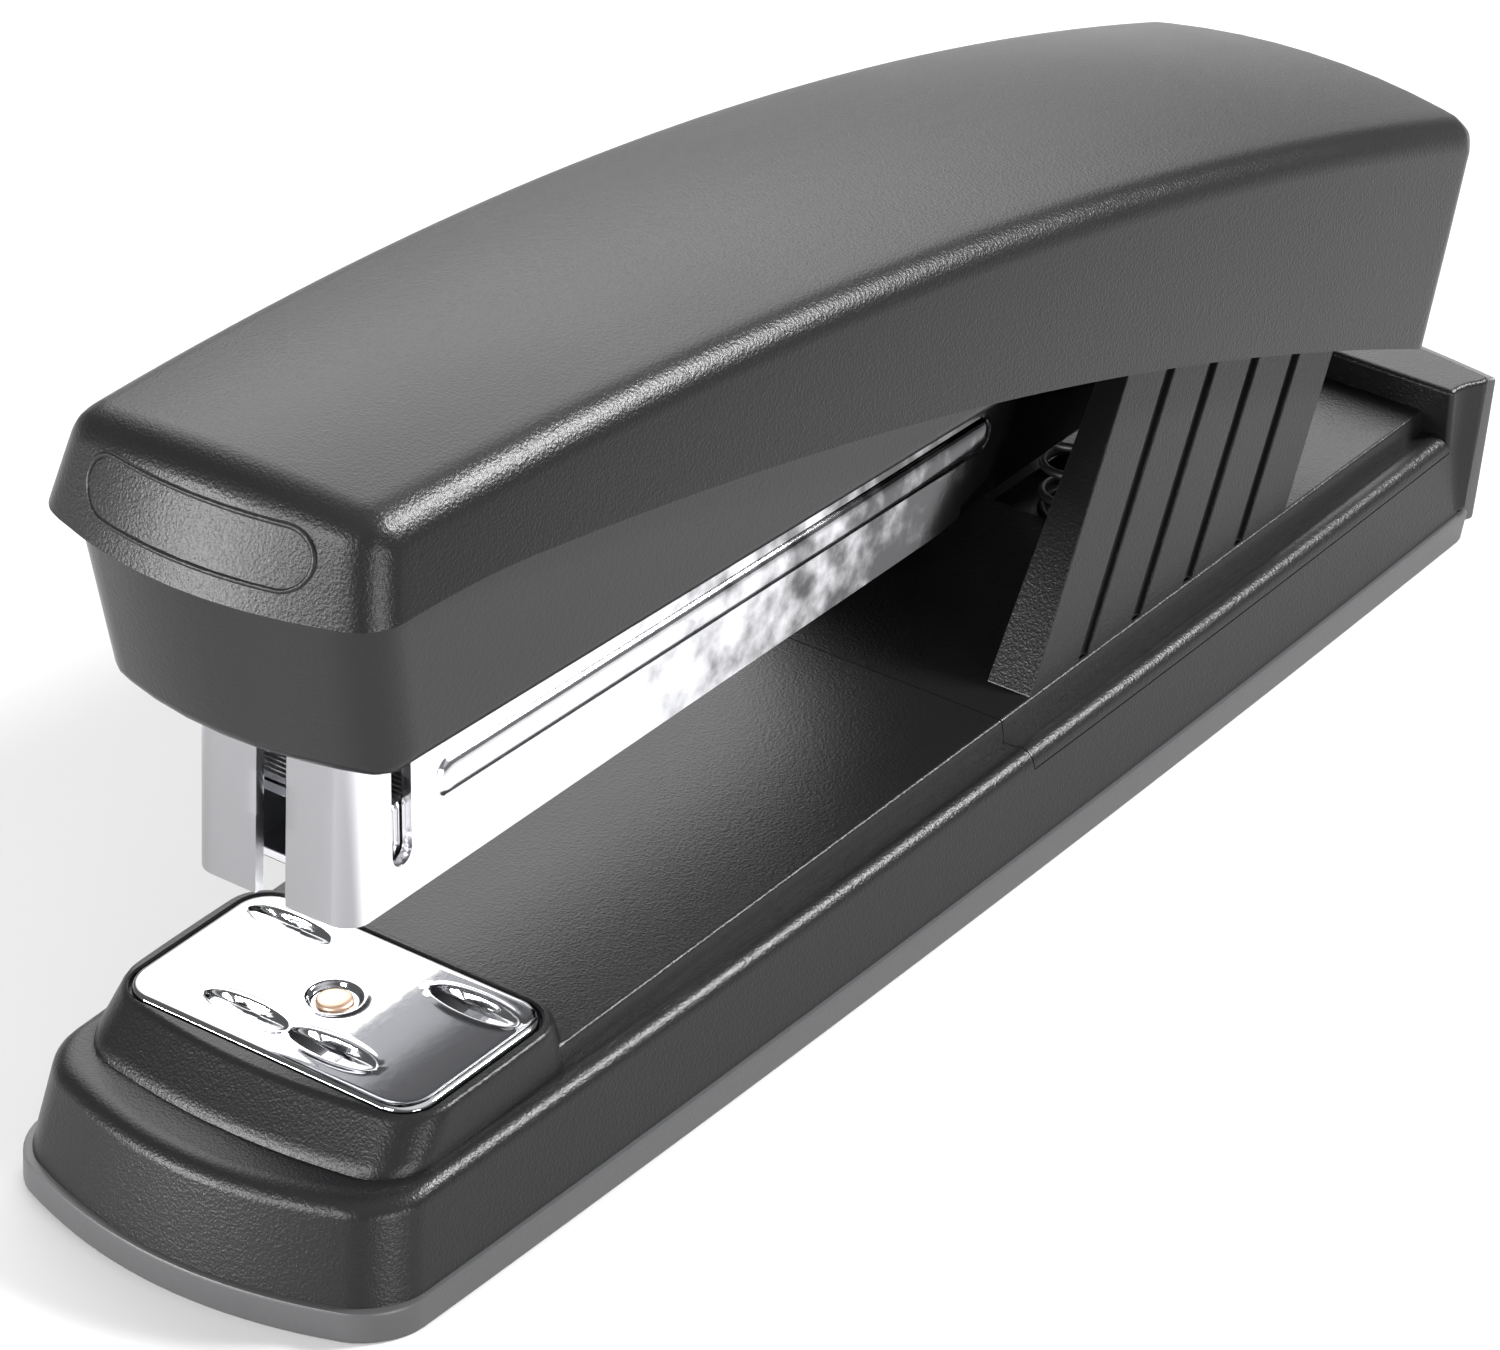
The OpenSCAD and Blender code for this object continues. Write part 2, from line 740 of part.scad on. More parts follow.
module top_cover() {
    color([0.11, 0.11, 0.12]) {
        difference() {
            cover_form(0);
            cover_form(cover_t);
            // lower edge: a long arch from the lip to the rear corner
            across(60)
                polygon(concat([[-90, -5], [90, -5], [90, low_rear[1]]],
                    arc(low_rear, low_front, -4.8, 20),
                    [[-90, 56.2]]));
            // clear of the bracket when the handle swings up
            box([-14.9, 60, 10], [14.9, 90, 28]);
        }
        cover_boss();
    }
}

// Boss that takes the screw through the steel lever
module cover_boss() {
    difference() {
        translate([0, cover_screw_y, 51.6]) cylinder(r = 2.6, h = 6);
        translate([0, cover_screw_y, 50]) cylinder(r = 1.2, h = 6.5);
    }
}

module cover_screw() {
    color([0.7, 0.7, 0.72])
        translate([0, cover_screw_y, 0]) {
            translate([0, 0, 48.2]) cylinder(r = 2.5, h = 1.2);
            translate([0, 0, 49.3]) cylinder(r = 1.2, h = 6.6);
        }
}

// ---- the model ------------------------------------------------------------

foot_pan();
base_shell();
rear_bracket();
base_frame();
base_screws();
hinge_pin();
pin_clips();
return_spring();
anvil_spring();
anvil_button();
anvil_plate();
anvil_rivet();
magazine_channel();
staple_rail();
staple_strip();
pusher_rod();
pusher_spring();
pusher();
handle_spring();
handle_frame();
driver_blade();
driver_rivets();
nose_housing();
top_cover();
cover_screw();
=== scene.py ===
import math

import bmesh
import bpy
from mathutils import Matrix, Vector


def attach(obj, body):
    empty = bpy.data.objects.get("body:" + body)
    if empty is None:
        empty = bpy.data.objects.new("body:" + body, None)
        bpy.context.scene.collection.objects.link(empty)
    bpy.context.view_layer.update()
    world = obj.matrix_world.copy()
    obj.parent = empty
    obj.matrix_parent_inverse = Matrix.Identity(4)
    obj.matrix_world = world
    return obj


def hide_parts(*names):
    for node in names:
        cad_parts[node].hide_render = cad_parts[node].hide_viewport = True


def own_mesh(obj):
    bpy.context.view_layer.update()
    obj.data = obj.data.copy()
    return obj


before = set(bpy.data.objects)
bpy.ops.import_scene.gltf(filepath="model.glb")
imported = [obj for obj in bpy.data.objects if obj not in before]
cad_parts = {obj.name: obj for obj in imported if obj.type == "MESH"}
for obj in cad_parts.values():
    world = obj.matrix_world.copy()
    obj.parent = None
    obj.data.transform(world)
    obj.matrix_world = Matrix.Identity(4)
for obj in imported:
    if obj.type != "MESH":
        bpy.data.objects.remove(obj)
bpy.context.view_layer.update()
MM = 0.001


# ---- mesh helpers ----------------------------------------------------------

def make(name, verts, faces, smooth=True):
    """Object from points in millimetres."""
    mesh = bpy.data.meshes.new(name)
    mesh.from_pydata([(v[0] * MM, v[1] * MM, v[2] * MM) for v in verts], [], faces)
    mesh.validate()
    bm = bmesh.new()
    bm.from_mesh(mesh)
    bmesh.ops.recalc_face_normals(bm, faces=bm.faces)
    bm.to_mesh(mesh)
    bm.free()
    for p in mesh.polygons:
        p.use_smooth = smooth
    obj = bpy.data.objects.new(name, mesh)
    bpy.context.scene.collection.objects.link(obj)
    return obj


def apply_mods(obj):
    """Bakes the modifiers into the mesh."""
    bpy.context.view_layer.update()
    graph = bpy.context.evaluated_depsgraph_get()
    baked = bpy.data.meshes.new_from_object(obj.evaluated_get(graph))
    obj.modifiers.clear()
    obj.data = baked
    return obj


def bevel(obj, width, segments=3, angle=30, weight=False, clamp=False):
    mod = obj.modifiers.new("bevel", "BEVEL")
    mod.width = width * MM
    mod.segments = segments
    mod.limit_method = "WEIGHT" if weight else "ANGLE"
    mod.angle_limit = math.radians(angle)
    mod.use_clamp_overlap = clamp
    mod.miter_outer = "MITER_ARC" if not weight else "MITER_SHARP"
    return apply_mods(obj)


def weigh_edges(obj, weight, angle=38):
    """Gives each edge sharper than angle the bevel weight that weight(edge) says."""
    obj.data.attributes.new("bevel_weight_edge", "FLOAT", "EDGE")
    bm = bmesh.new()
    bm.from_mesh(obj.data)
    layer = bm.edges.layers.float.get("bevel_weight_edge")
    for e in bm.edges:
        if len(e.link_faces) == 2 and e.calc_face_angle() > math.radians(angle):
            e[layer] = weight(e)
    bm.to_mesh(obj.data)
    bm.free()


def soften(obj, angle=35):
    """Smooth shading that keeps edges sharper than angle."""
    for p in obj.data.polygons:
        p.use_smooth = True
    obj.data.set_sharp_from_angle(angle=math.radians(angle))
    mod = obj.modifiers.new("normals", "WEIGHTED_NORMAL")
    mod.keep_sharp = True
    mod.weight = 60
    return apply_mods(obj)


def boolean(obj, cutter, operation="DIFFERENCE"):
    mod = obj.modifiers.new("cut", "BOOLEAN")
    mod.object = cutter
    mod.operation = operation
    mod.solver = "EXACT"
    apply_mods(obj)
    bpy.data.objects.remove(cutter)
    return obj


def join(name, objs):
    """Several objects as one."""
    bm = bmesh.new()
    for o in objs:
        part = o.data.copy()
        part.transform(o.matrix_world)
        bm.from_mesh(part)
        bpy.data.meshes.remove(part)
    mesh = bpy.data.meshes.new(name)
    bm.to_mesh(mesh)
    bm.free()
    for o in objs:
        bpy.data.objects.remove(o)
    obj = bpy.data.objects.new(name, mesh)
    bpy.context.scene.collection.objects.link(obj)
    return obj


def box(name, lo, hi):
    xs, ys, zs = zip(lo, hi)
    verts = [(x, y, z) for x in xs for y in ys for z in zs]
    faces = [(0, 1, 3, 2), (4, 6, 7, 5), (0, 4, 5, 1), (2, 3, 7, 6), (0, 2, 6, 4), (1, 5, 7, 3)]
    return make(name, verts, faces, smooth=False)


def prism(name, outline, x0, x1, shift=None):
    """(Y, Z) outline between x0 and x1; shift(x, y, z) may move each point."""
    n = len(outline)
    verts = [(x, y, z) for x in (x0, x1) for y, z in outline]
    if shift:
        verts = [shift(*v) for v in verts]
    faces = [tuple(range(n)), tuple(range(2 * n - 1, n - 1, -1))]
    faces += [(i, (i + 1) % n, n + (i + 1) % n, n + i) for i in range(n)]
    return make(name, verts, faces, smooth=False)


def rings(name, loops, cap_low=True, cap_high=True):
    """Closed skin over loops with equal point counts, lowest first."""
    n = len(loops[0])
    verts = [p for loop in loops for p in loop]
    faces = []
    for k in range(len(loops) - 1):
        a, b = k * n, (k + 1) * n
        faces += [(a + i, a + (i + 1) % n, b + (i + 1) % n, b + i) for i in range(n)]
    if cap_low:
        faces.append(tuple(range(n - 1, -1, -1)))
    if cap_high:
        faces.append(tuple(range(len(verts) - n, len(verts))))
    return make(name, verts, faces)


def lerp(a, b, t):
    """From a to b as t runs from 0 to 1."""
    return a + (b - a) * t


def smooth01(t):
    t = min(max(t, 0.0), 1.0)
    return t * t * (3 - 2 * t)


def plan(wf, wr, yf, yr, sag_f, sag_r, bow, r, z, steps=(20, 8, 40, 14), rr=None):
    """Plan outline at height z: bowed front, sides and rear with soft corners, rr at the rear."""
    nf, nc, ns, nr = steps
    rr = rr or r
    yfc, yrc = yf + sag_f, yr - sag_r

    def front(t):
        return wf * t, yf + sag_f * t * t

    def side(t, s):
        return s * (lerp(wf, wr, t) + bow * 4 * t * (1 - t)), lerp(yfc, yrc, t)

    def rear(t):
        return wr * t, yr - sag_r * t * t

    length = yrc - yfc
    tf, tr, ts, te = 1 - r / wf, 1 - rr / wr, r / length, 1 - rr / length
    points = [front(lerp(-tf, tf, i / nf)) for i in range(nf + 1)]

    def corner(a, b, da, db, r):
        ax, ay = a
        bx, by = b
        k = 0.56 * r
        la, lb = math.hypot(*da), math.hypot(*db)
        p1 = (ax + da[0] / la * k, ay + da[1] / la * k)
        p2 = (bx - db[0] / lb * k, by - db[1] / lb * k)
        out = []
        for i in range(1, nc):
            t = i / nc
            c = ((1 - t) ** 3, 3 * t * (1 - t) ** 2, 3 * t * t * (1 - t), t ** 3)
            out.append(tuple(c[0] * u + c[1] * v + c[2] * w + c[3] * x
                             for u, v, w, x in zip(a, p1, p2, b)))
        return out

    def direction(fn, t, sign=1):
        p, q = fn(t - 0.01), fn(t + 0.01)
        return ((q[0] - p[0]) * sign, (q[1] - p[1]) * sign)

    right = [side(lerp(ts, te, i / ns), 1) for i in range(ns + 1)]

    def right_side(t):
        return side(t, 1)

    def left_side(t):
        return side(t, -1)

    points += corner(points[-1], right[0], direction(front, tf), direction(right_side, ts), r)
    points += right
    back = [rear(lerp(tr, -tr, i / nr)) for i in range(nr + 1)]
    points += corner(right[-1], back[0], direction(right_side, te), direction(rear, tr, -1), rr)
    points += back
    left = [(-x, y) for x, y in reversed(right)]
    points += corner(back[-1], left[0], direction(rear, -tr, -1), direction(left_side, te, -1), rr)
    points += left
    points += corner(left[-1], points[0], direction(left_side, ts, -1), direction(front, -tf), r)
    return [(x, y, z) for x, y in points]


def cube_skin(fn, us, vs, ws, skip=()):
    """Skin of a mapped block: fn(u, v, w) gives a point. skip names faces left open."""
    index, verts, faces = {}, [], []
    nu, nv, nw = len(us) - 1, len(vs) - 1, len(ws) - 1

    def at(i, j, k):
        if (i, j, k) not in index:
            index[(i, j, k)] = len(verts)
            verts.append(fn(us[i], vs[j], ws[k]))
        return index[(i, j, k)]

    def patch(label, na, nb, place):
        if label in skip:
            return
        for a in range(na):
            for b in range(nb):
                around = ((a, b), (a + 1, b), (a + 1, b + 1), (a, b + 1))
                faces.append(tuple(at(*place(p, q)) for p, q in around))

    patch("top", nu, nv, lambda a, b: (a, b, nw))
    patch("bottom", nu, nv, lambda a, b: (a, b, 0))
    patch("front", nu, nw, lambda a, b: (a, 0, b))
    patch("rear", nu, nw, lambda a, b: (a, nv, b))
    patch("left", nv, nw, lambda a, b: (0, a, b))
    patch("right", nv, nw, lambda a, b: (nu, a, b))
    return verts, faces


def tube(name, path, r, sides=10, closed=False):
    """Round wire along a path."""
    pts = [Vector(p) for p in path]
    n = len(pts)
    verts, faces = [], []
    normal = None
    for i, p in enumerate(pts):
        a = pts[(i - 1) % n] if closed or i else p
        b = pts[(i + 1) % n] if closed or i < n - 1 else p
        d = (b - a).normalized()
        if normal is None:
            normal = d.orthogonal().normalized()
        normal = (normal - d * normal.dot(d)).normalized()
        side = d.cross(normal)
        for k in range(sides):
            t = 2 * math.pi * k / sides
            verts.append(p + normal * (r * math.cos(t)) + side * (r * math.sin(t)))
    for i in range(n if closed else n - 1):
        a, b = i * sides, ((i + 1) % n) * sides
        faces += [(a + k, a + (k + 1) % sides, b + (k + 1) % sides, b + k) for k in range(sides)]
    if not closed:
        faces.append(tuple(range(sides)))
        faces.append(tuple(range(len(verts) - 1, len(verts) - sides - 1, -1)))
    return make(name, verts, faces)


def coil_path(place, r, turns, length, flat=1.0, per_turn=24):
    """Helix points; place(a, b, h) turns them into X, Y, Z. The end turns lie close."""
    n = int(turns * per_turn)
    out = []
    for i in range(n + 1):
        t = i / n
        s = t * turns
        grow = max(0.0, min(s - flat, turns - 2 * flat)) / (turns - 2 * flat)
        low = min(s, flat) * 0.12
        high = max(0.0, s - (turns - flat)) * 0.12
        h = low + high + grow * (length - 0.24 * flat)
        a = 2 * math.pi * s
        out.append(place(r * math.cos(a), r * math.sin(a), h))
    return out


def refine(node, width=0.12, segments=2, angle=35):
    """A softer copy of a CAD node that stands for it."""
    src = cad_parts[node]
    mesh = src.data.copy()
    mesh.materials.clear()
    obj = bpy.data.objects.new("soft_" + node, mesh)
    bpy.context.scene.collection.objects.link(obj)
    bm = bmesh.new()
    bm.from_mesh(mesh)
    bmesh.ops.remove_doubles(bm, verts=bm.verts, dist=2e-6)
    bmesh.ops.dissolve_limit(bm, angle_limit=math.radians(1.0), verts=bm.verts, edges=bm.edges)
    bm.to_mesh(mesh)
    bm.free()
    if width:
        bevel(obj, width, segments, angle, clamp=True)
    soften(obj)
    return obj


# ---- materials -------------------------------------------------------------

def material(name, color, rough=0.4, metal=0.0, spec=0.5, coat=0.0):
    mat = bpy.data.materials.new(name)
    mat.use_nodes = True
    tree = mat.node_tree
    shader = tree.nodes["Principled BSDF"]
    shader.inputs["Base Color"].default_value = (*color, 1)
    shader.inputs["Roughness"].default_value = rough
    shader.inputs["Metallic"].default_value = metal
    shader.inputs["Specular IOR Level"].default_value = spec
    shader.inputs["Coat Weight"].default_value = coat
    shader.inputs["Coat Roughness"].default_value = 0.15
    return mat, tree, shader


def node(tree, kind, **values):
    n = tree.nodes.new(kind)
    for k, v in values.items():
        if k in n.inputs:
            n.inputs[k].default_value = v
        else:
            setattr(n, k, v)
    return n


def coords(tree, scale=(1, 1, 1)):
    tex = node(tree, "ShaderNodeTexCoord")
    mapping = node(tree, "ShaderNodeMapping")
    mapping.inputs["Scale"].default_value = scale
    tree.links.new(tex.outputs["Object"], mapping.inputs["Vector"])
    return mapping.outputs["Vector"]


def remap(tree, source, start, end, low, high, kind="SMOOTHSTEP"):
    """Value that runs from low to high as source runs from start to end."""
    ramp = node(tree, "ShaderNodeMapRange", interpolation_type=kind)
    for label, value in (("From Min", start), ("From Max", end), ("To Min", low), ("To Max", high)):
        ramp.inputs[label].default_value = value
    tree.links.new(source, ramp.inputs["Value"])
    return ramp.outputs["Result"]


def grain(name, color, rough, cell=0.32, height=0.03, spread=0.08, spec=0.5):
    """Moulded plastic with a fine leather grain; cell and height in millimetres."""
    mat, tree, shader = material(name, color, rough, spec=spec)
    vec = coords(tree, (1000 / cell,) * 3)
    cells = node(tree, "ShaderNodeTexVoronoi", feature="SMOOTH_F1")
    cells.inputs["Scale"].default_value = 1
    cells.inputs["Smoothness"].default_value = 0.6
    cells.inputs["Randomness"].default_value = 1.0
    tree.links.new(vec, cells.inputs["Vector"])
    fine = node(tree, "ShaderNodeTexNoise")
    fine.inputs["Scale"].default_value = 1.9
    fine.inputs["Detail"].default_value = 3
    tree.links.new(vec, fine.inputs["Vector"])
    mix = node(tree, "ShaderNodeMath", operation="MULTIPLY_ADD")
    mix.inputs[1].default_value = 0.9
    tree.links.new(cells.outputs["Distance"], mix.inputs[0])
    tree.links.new(fine.outputs["Fac"], mix.inputs[2])
    bump = node(tree, "ShaderNodeBump")
    bump.inputs["Strength"].default_value = 1.0
    bump.inputs["Distance"].default_value = height * MM
    tree.links.new(mix.outputs[0], bump.inputs["Height"])
    tree.links.new(bump.outputs["Normal"], shader.inputs["Normal"])
    wide = node(tree, "ShaderNodeTexNoise")
    wide.inputs["Scale"].default_value = 0.012
    wide.inputs["Detail"].default_value = 4
    tree.links.new(vec, wide.inputs["Vector"])
    gloss = remap(tree, wide.outputs["Fac"], 0, 1, rough - spread, rough + spread, "LINEAR")
    tree.links.new(gloss, shader.inputs["Roughness"])
    return mat


def steel(name, color, rough, stretch=(1, 1, 1), height=0.002, scale=900, mottled=0.05):
    """Sheet metal; stretch draws the marks out along an axis."""
    mat, tree, shader = material(name, color, rough, metal=1.0)
    vec = coords(tree, tuple(scale * s for s in stretch))
    marks = node(tree, "ShaderNodeTexNoise")
    marks.inputs["Scale"].default_value = 1
    marks.inputs["Detail"].default_value = 5
    tree.links.new(vec, marks.inputs["Vector"])
    bump = node(tree, "ShaderNodeBump")
    bump.inputs["Distance"].default_value = height * MM
    tree.links.new(marks.outputs["Fac"], bump.inputs["Height"])
    tree.links.new(bump.outputs["Normal"], shader.inputs["Normal"])
    gloss = remap(tree, marks.outputs["Fac"], 0, 1, max(0.02, rough - mottled), rough + mottled, "LINEAR")
    tree.links.new(gloss, shader.inputs["Roughness"])
    return mat


def nickel_painted_shade(name):
    """Plated channel: satin at the folded front tabs, whose base colour is painted darker as painted shade
    for a darker reflection; bright sides; painted shade that darkens the sides towards the hinge, where the
    cheeks shade them.
    """
    mat = steel(name, (0.9, 0.9, 0.91), 0.12, (1, 1, 1), 0.004, 1800, 0.04)
    tree = mat.node_tree
    shader = tree.nodes["Principled BSDF"]
    tex = node(tree, "ShaderNodeTexCoord")
    split = node(tree, "ShaderNodeSeparateXYZ")
    tree.links.new(tex.outputs["Object"], split.inputs[0])
    # painted shade: noise that makes the edge of the darkening towards the hinge uneven
    hinge_shade_noise = node(tree, "ShaderNodeTexNoise")
    hinge_shade_noise.inputs["Scale"].default_value = 330
    hinge_shade_noise.inputs["Detail"].default_value = 6
    tree.links.new(tex.outputs["Object"], hinge_shade_noise.inputs["Vector"])
    offset = node(tree, "ShaderNodeMath", operation="MULTIPLY_ADD")
    offset.inputs[1].default_value = 0.08
    tree.links.new(hinge_shade_noise.outputs["Fac"], offset.inputs[0])
    tree.links.new(split.outputs["Y"], offset.inputs[2])
    tabs = (split.outputs["Y"], -0.0638, -0.0626)
    # painted shade: the front tabs get a darker base colour that stands for the shadowed floor they reflect
    front = remap(tree, *tabs, 0.36, 0.92)
    # painted shade: the base colour falls to a tenth towards the hinge, standing for the shade of the cheeks
    rear = remap(tree, offset.outputs[0], 0.004, 0.048, 1.0, 0.1)
    tone = node(tree, "ShaderNodeMath", operation="MULTIPLY")
    tree.links.new(front, tone.inputs[0])
    tree.links.new(rear, tone.inputs[1])
    color = node(tree, "ShaderNodeCombineColor")
    blue = node(tree, "ShaderNodeMath", operation="MULTIPLY")
    blue.inputs[1].default_value = 1.04
    tree.links.new(tone.outputs[0], blue.inputs[0])
    tree.links.new(tone.outputs[0], color.inputs[0])
    tree.links.new(tone.outputs[0], color.inputs[1])
    tree.links.new(blue.outputs[0], color.inputs[2])
    tree.links.new(color.outputs[0], shader.inputs["Base Color"])
    tree.links.new(remap(tree, *tabs, 0.27, 0.13), shader.inputs["Roughness"])
    return mat


MATS = {
    "black_plastic": grain("black_abs", (0.009, 0.009, 0.0095), 0.3, 0.25, 0.024, 0.04, 0.24),
    "smooth_black": grain("smooth_abs", (0.009, 0.009, 0.0095), 0.28, 0.34, 0.012, 0.04, 0.3),
    "dark_plastic": grain("pusher_pom", (0.03, 0.03, 0.032), 0.38, 0.3, 0.006),
    "grey_plastic": grain("grey_foot", (0.055, 0.055, 0.057), 0.42, 0.3, 0.01),
    "nickel": steel("nickel_plate", (0.62, 0.625, 0.64), 0.07, (1, 1, 1), 0.002, 1800, 0.03),
    "nickel_painted_shade": nickel_painted_shade("nickel_painted_shade"),
    "zinc_steel": steel("zinc_sheet", (0.6, 0.61, 0.63), 0.32, (1, 1, 1), 0.003, 700, 0.08),
    "bright_steel": steel("bright_bar", (0.7, 0.7, 0.71), 0.2, (1, 1, 1), 0.001, 1500),
    "spring_steel": steel("spring_wire", (0.16, 0.16, 0.17), 0.34, (1, 1, 1), 0.001, 2500),
    "black_wire": grain("black_wire", (0.015, 0.015, 0.015), 0.4, 0.3, 0.003),
    "staple_wire": steel("staple_wire", (0.74, 0.74, 0.75), 0.22, (1, 1, 1), 0.001, 2500),
    "copper": steel("copper_rivet", (0.8, 0.56, 0.42), 0.4, (1, 1, 1), 0.004, 1600, 0.06),
}


def piece(obj, body, slot, *nodes, look=None):
    """Hangs a finished piece on its body, gives it its finish and lets it stand for CAD nodes."""
    obj.data.materials.clear()
    obj.data.materials.append(MATS[look or slot])
    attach(obj, body)
    if nodes:
        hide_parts(*nodes)
    return obj


def rounded_rect(hx, hy, r, per=16, edge=14):
    """Outline with round corners, from its half sizes."""
    pts = []
    centres = ((hx - r, hy - r), (r - hx, hy - r), (r - hx, r - hy), (hx - r, r - hy))
    for k, (cx, cy) in enumerate(centres):
        angles = [math.radians(90 * k + 90 * i / per) for i in range(per + 1)]
        pts.append([(cx + r * math.cos(a), cy + r * math.sin(a)) for a in angles])
    out = []
    for k in range(4):
        out += pts[k]
        a, b = pts[k][-1], pts[(k + 1) % 4][0]
        out += [(lerp(a[0], b[0], i / edge), lerp(a[1], b[1], i / edge)) for i in range(1, edge)]
    return out


# ---- base ------------------------------------------------------------------

FRONT = -78.18          # foremost point of the foot
SEAM = 6.78             # joint between the front and rear black parts
ANVIL_Y = -57.7         # centre of the anvil, its stem and its button
PIN_Y, PIN_Z = 56, 33   # hinge pin
SCREW_X = 11            # foot screws, left and right
SCREW_FRONT, SCREW_REAR = -38, 60


def base_loop(z, inset, front, rear, r=3.4):
    """Base outline: inset from the foot's sides, its ends at front and rear."""
    return plan(18.25 - inset, 19.2 - inset, front, rear, 4.4, 1.7, 0.9, r, z, rr=1.0)


def base_block():
    """Solid form of the skirt, up to the foot of the deck."""
    levels = [
        (2.62, 0.45, -77.5, 74.3), (5.8, 0.95, -76.75, 74.9), (8.9, 1.4, -76.0, 75.3),
        (9.2, 1.47, -75.9, 75.3), (9.5, 1.6, -75.72, 75.3), (9.76, 1.8, -75.48, 75.3),
        (9.98, 2.05, -75.2, 75.3),
        (10.13, 2.36, -74.85, 75.3), (10.2, 2.7, -74.45, 75.3), (10.16, 3.05, -73.9, 75.3),
        (10.04, 3.35, -72.9, 75.3), (10.02, 4.45, -70.9, 75.3)]
    return rings("skirt", [base_loop(z, i, f, b) for z, i, f, b in levels])


def deck_block():
    levels = [(9.4, 15.24), (10.8, 15.16), (11.6, 15.02), (11.82, 14.95), (11.93, 14.82), (11.96, 14.65)]
    return rings("deck", [plan(w, w, -56, 72, 0.1, 0.1, 0.02, 0.5, z, (8, 3, 20, 8)) for z, w in levels])


def platform_block():
    """Raised seat; a low rim stands round the anvil plate."""
    levels = [
        (9.4, 15.3, -71.2, -47.2), (10.6, 15.3, -70.75, -47.5), (11.05, 15.25, -70.3, -47.7),
        (12.9, 15.0, -68.6, -48.2), (13.4, 14.92, -68.2, -48.3), (13.65, 14.82, -67.95, -48.38),
        (13.8, 14.68, -67.7, -48.5), (13.86, 14.5, -67.5, -48.7)]
    seat = rings("platform", [plan(w, w, f, b, 2.0, 0.2, 0.12, 3.4, z) for z, w, f, b in levels])
    pocket = rings("pocket", [
        [(x, y + ANVIL_Y, z) for x, y in rounded_rect(14.12 + grow, 8.67 + grow, 3.1, 8, 4)]
        for z, grow in ((13.28, 0), (13.7, 0), (13.95, 0.18))])
    return boolean(seat, pocket)


def hollow(z0, z1):
    """Cutter for the inside of the base, wide below and narrow under the deck."""
    return rings("hollow", [
        plan(16.6, 17.4, -75.2, 72.0, 4.4, 1.7, 0.9, 3, z0),
        plan(13.0, 13.2, -68.5, 69.0, 3.0, 1.0, 0.4, 2, z1)])


def base_shell():
    skirt = base_block()
    boolean(skirt, box("aft", (-40, SEAM - 0.05, 8.6), (40, 120, 40)))
    deck = deck_block()
    boolean(deck, box("aft", (-40, SEAM - 0.05, 0), (40, 120, 40)))
    shell = boolean(skirt, deck, "UNION")
    shell = boolean(shell, platform_block(), "UNION")
    boolean(shell, hollow(2.0, 10.0))
    boolean(shell, cylinder("stem_hole", (0, ANVIL_Y, 5), 3.1, 12))
    return shell


def cylinder(name, at, r, h, axis="Z", n=48):
    """Plain round bar that starts at the point and runs along the axis."""
    verts = []
    for k in (0, h):
        for i in range(n):
            a, b = r * math.cos(2 * math.pi * i / n), r * math.sin(2 * math.pi * i / n)
            d = {"Z": (a, b, k), "X": (k, a, b), "Y": (b, k, a)}[axis]
            verts.append(tuple(p + q for p, q in zip(at, d)))
    faces = [tuple(range(n)), tuple(range(2 * n - 1, n - 1, -1))]
    faces += [(i, (i + 1) % n, n + (i + 1) % n, n + i) for i in range(n)]
    return make(name, verts, faces, smooth=False)


def rear_line(z):
    """How far back the rear skin reaches at height z."""
    return lerp(75.6, 78.16, min(max((z - 1.2) / 13 * 0.93 + 0.07, 0), 1) ** 0.9)


def rear_wall():
    """Black wall that closes the rear; its sides run on from the skirt and flare into the skin."""
    def at(u, v, w):
        z = lerp(2.7, 14.68, w)
        skirt = 19.23 - lerp(0.45, 1.4, min((z - 2.7) / 6.2, 1))
        half = lerp(skirt, 19.05, smooth01((v - 0.3) / 0.6))
        y = lerp(70.8 + 0.2 * w, rear_line(z) - lerp(1.48, 1.06, w) - 1.7 * u * u, v)
        return u * half, y, z
    us = [i / 8 - 1 for i in range(17)]
    verts, faces = cube_skin(at, us, [0, 0.25, 0.5, 0.75, 1], [0, 0.25, 0.5, 0.75, 1])
    obj = make("rear_wall", verts, faces)
    return bevel(obj, 0.45, 4, 45)


def cheek(side):
    """Ribbed cheek that carries the hinge pin; its outer face leans inwards going up."""
    foot_z, groove_z, tall = 11.95, 11.96, 34
    inner_x, outer_x, slope = 10.6, 14.86, 0.0728
    half, first, pitch, lean = 0.7, 18.7, 7.7, 0.66
    head = [math.radians(a) for a in range(0, 111, 10)]
    outline = [(11.0, 11.0), (49.1, 11.0), (49.1, foot_z), (59.1, 27.1), (62.0, 31.2)]
    outline += [(PIN_Y + 6.4 * math.cos(a), PIN_Z + 6.4 * math.sin(a)) for a in head]
    outline += [(28.3, 37.9), (11.0, foot_z)]

    def draft(x, y, z):
        if x > 12:
            x = outer_x - slope * max(z - foot_z, 0)
        return side * x, y, z

    def groove_draft(x, y, z):
        return side * (x - slope * (z - groove_z)), y, z

    body = prism("cheek", outline, inner_x, outer_x, draft)
    for i in range(4):
        y = first + pitch * i
        top_z = groove_z + tall
        section = [(y - half, groove_z), (y + half, groove_z),
                   (y + half + lean * tall, top_z), (y - half + lean * tall, top_z)]
        boolean(body, prism("groove", section, 14.25, 17, groove_draft))
    bevel(body, 0.16, 2, 25)
    boolean(body, cylinder("pin_bore", (9 if side > 0 else -16, PIN_Y, PIN_Z), 2.0, 7, "X"))
    return body


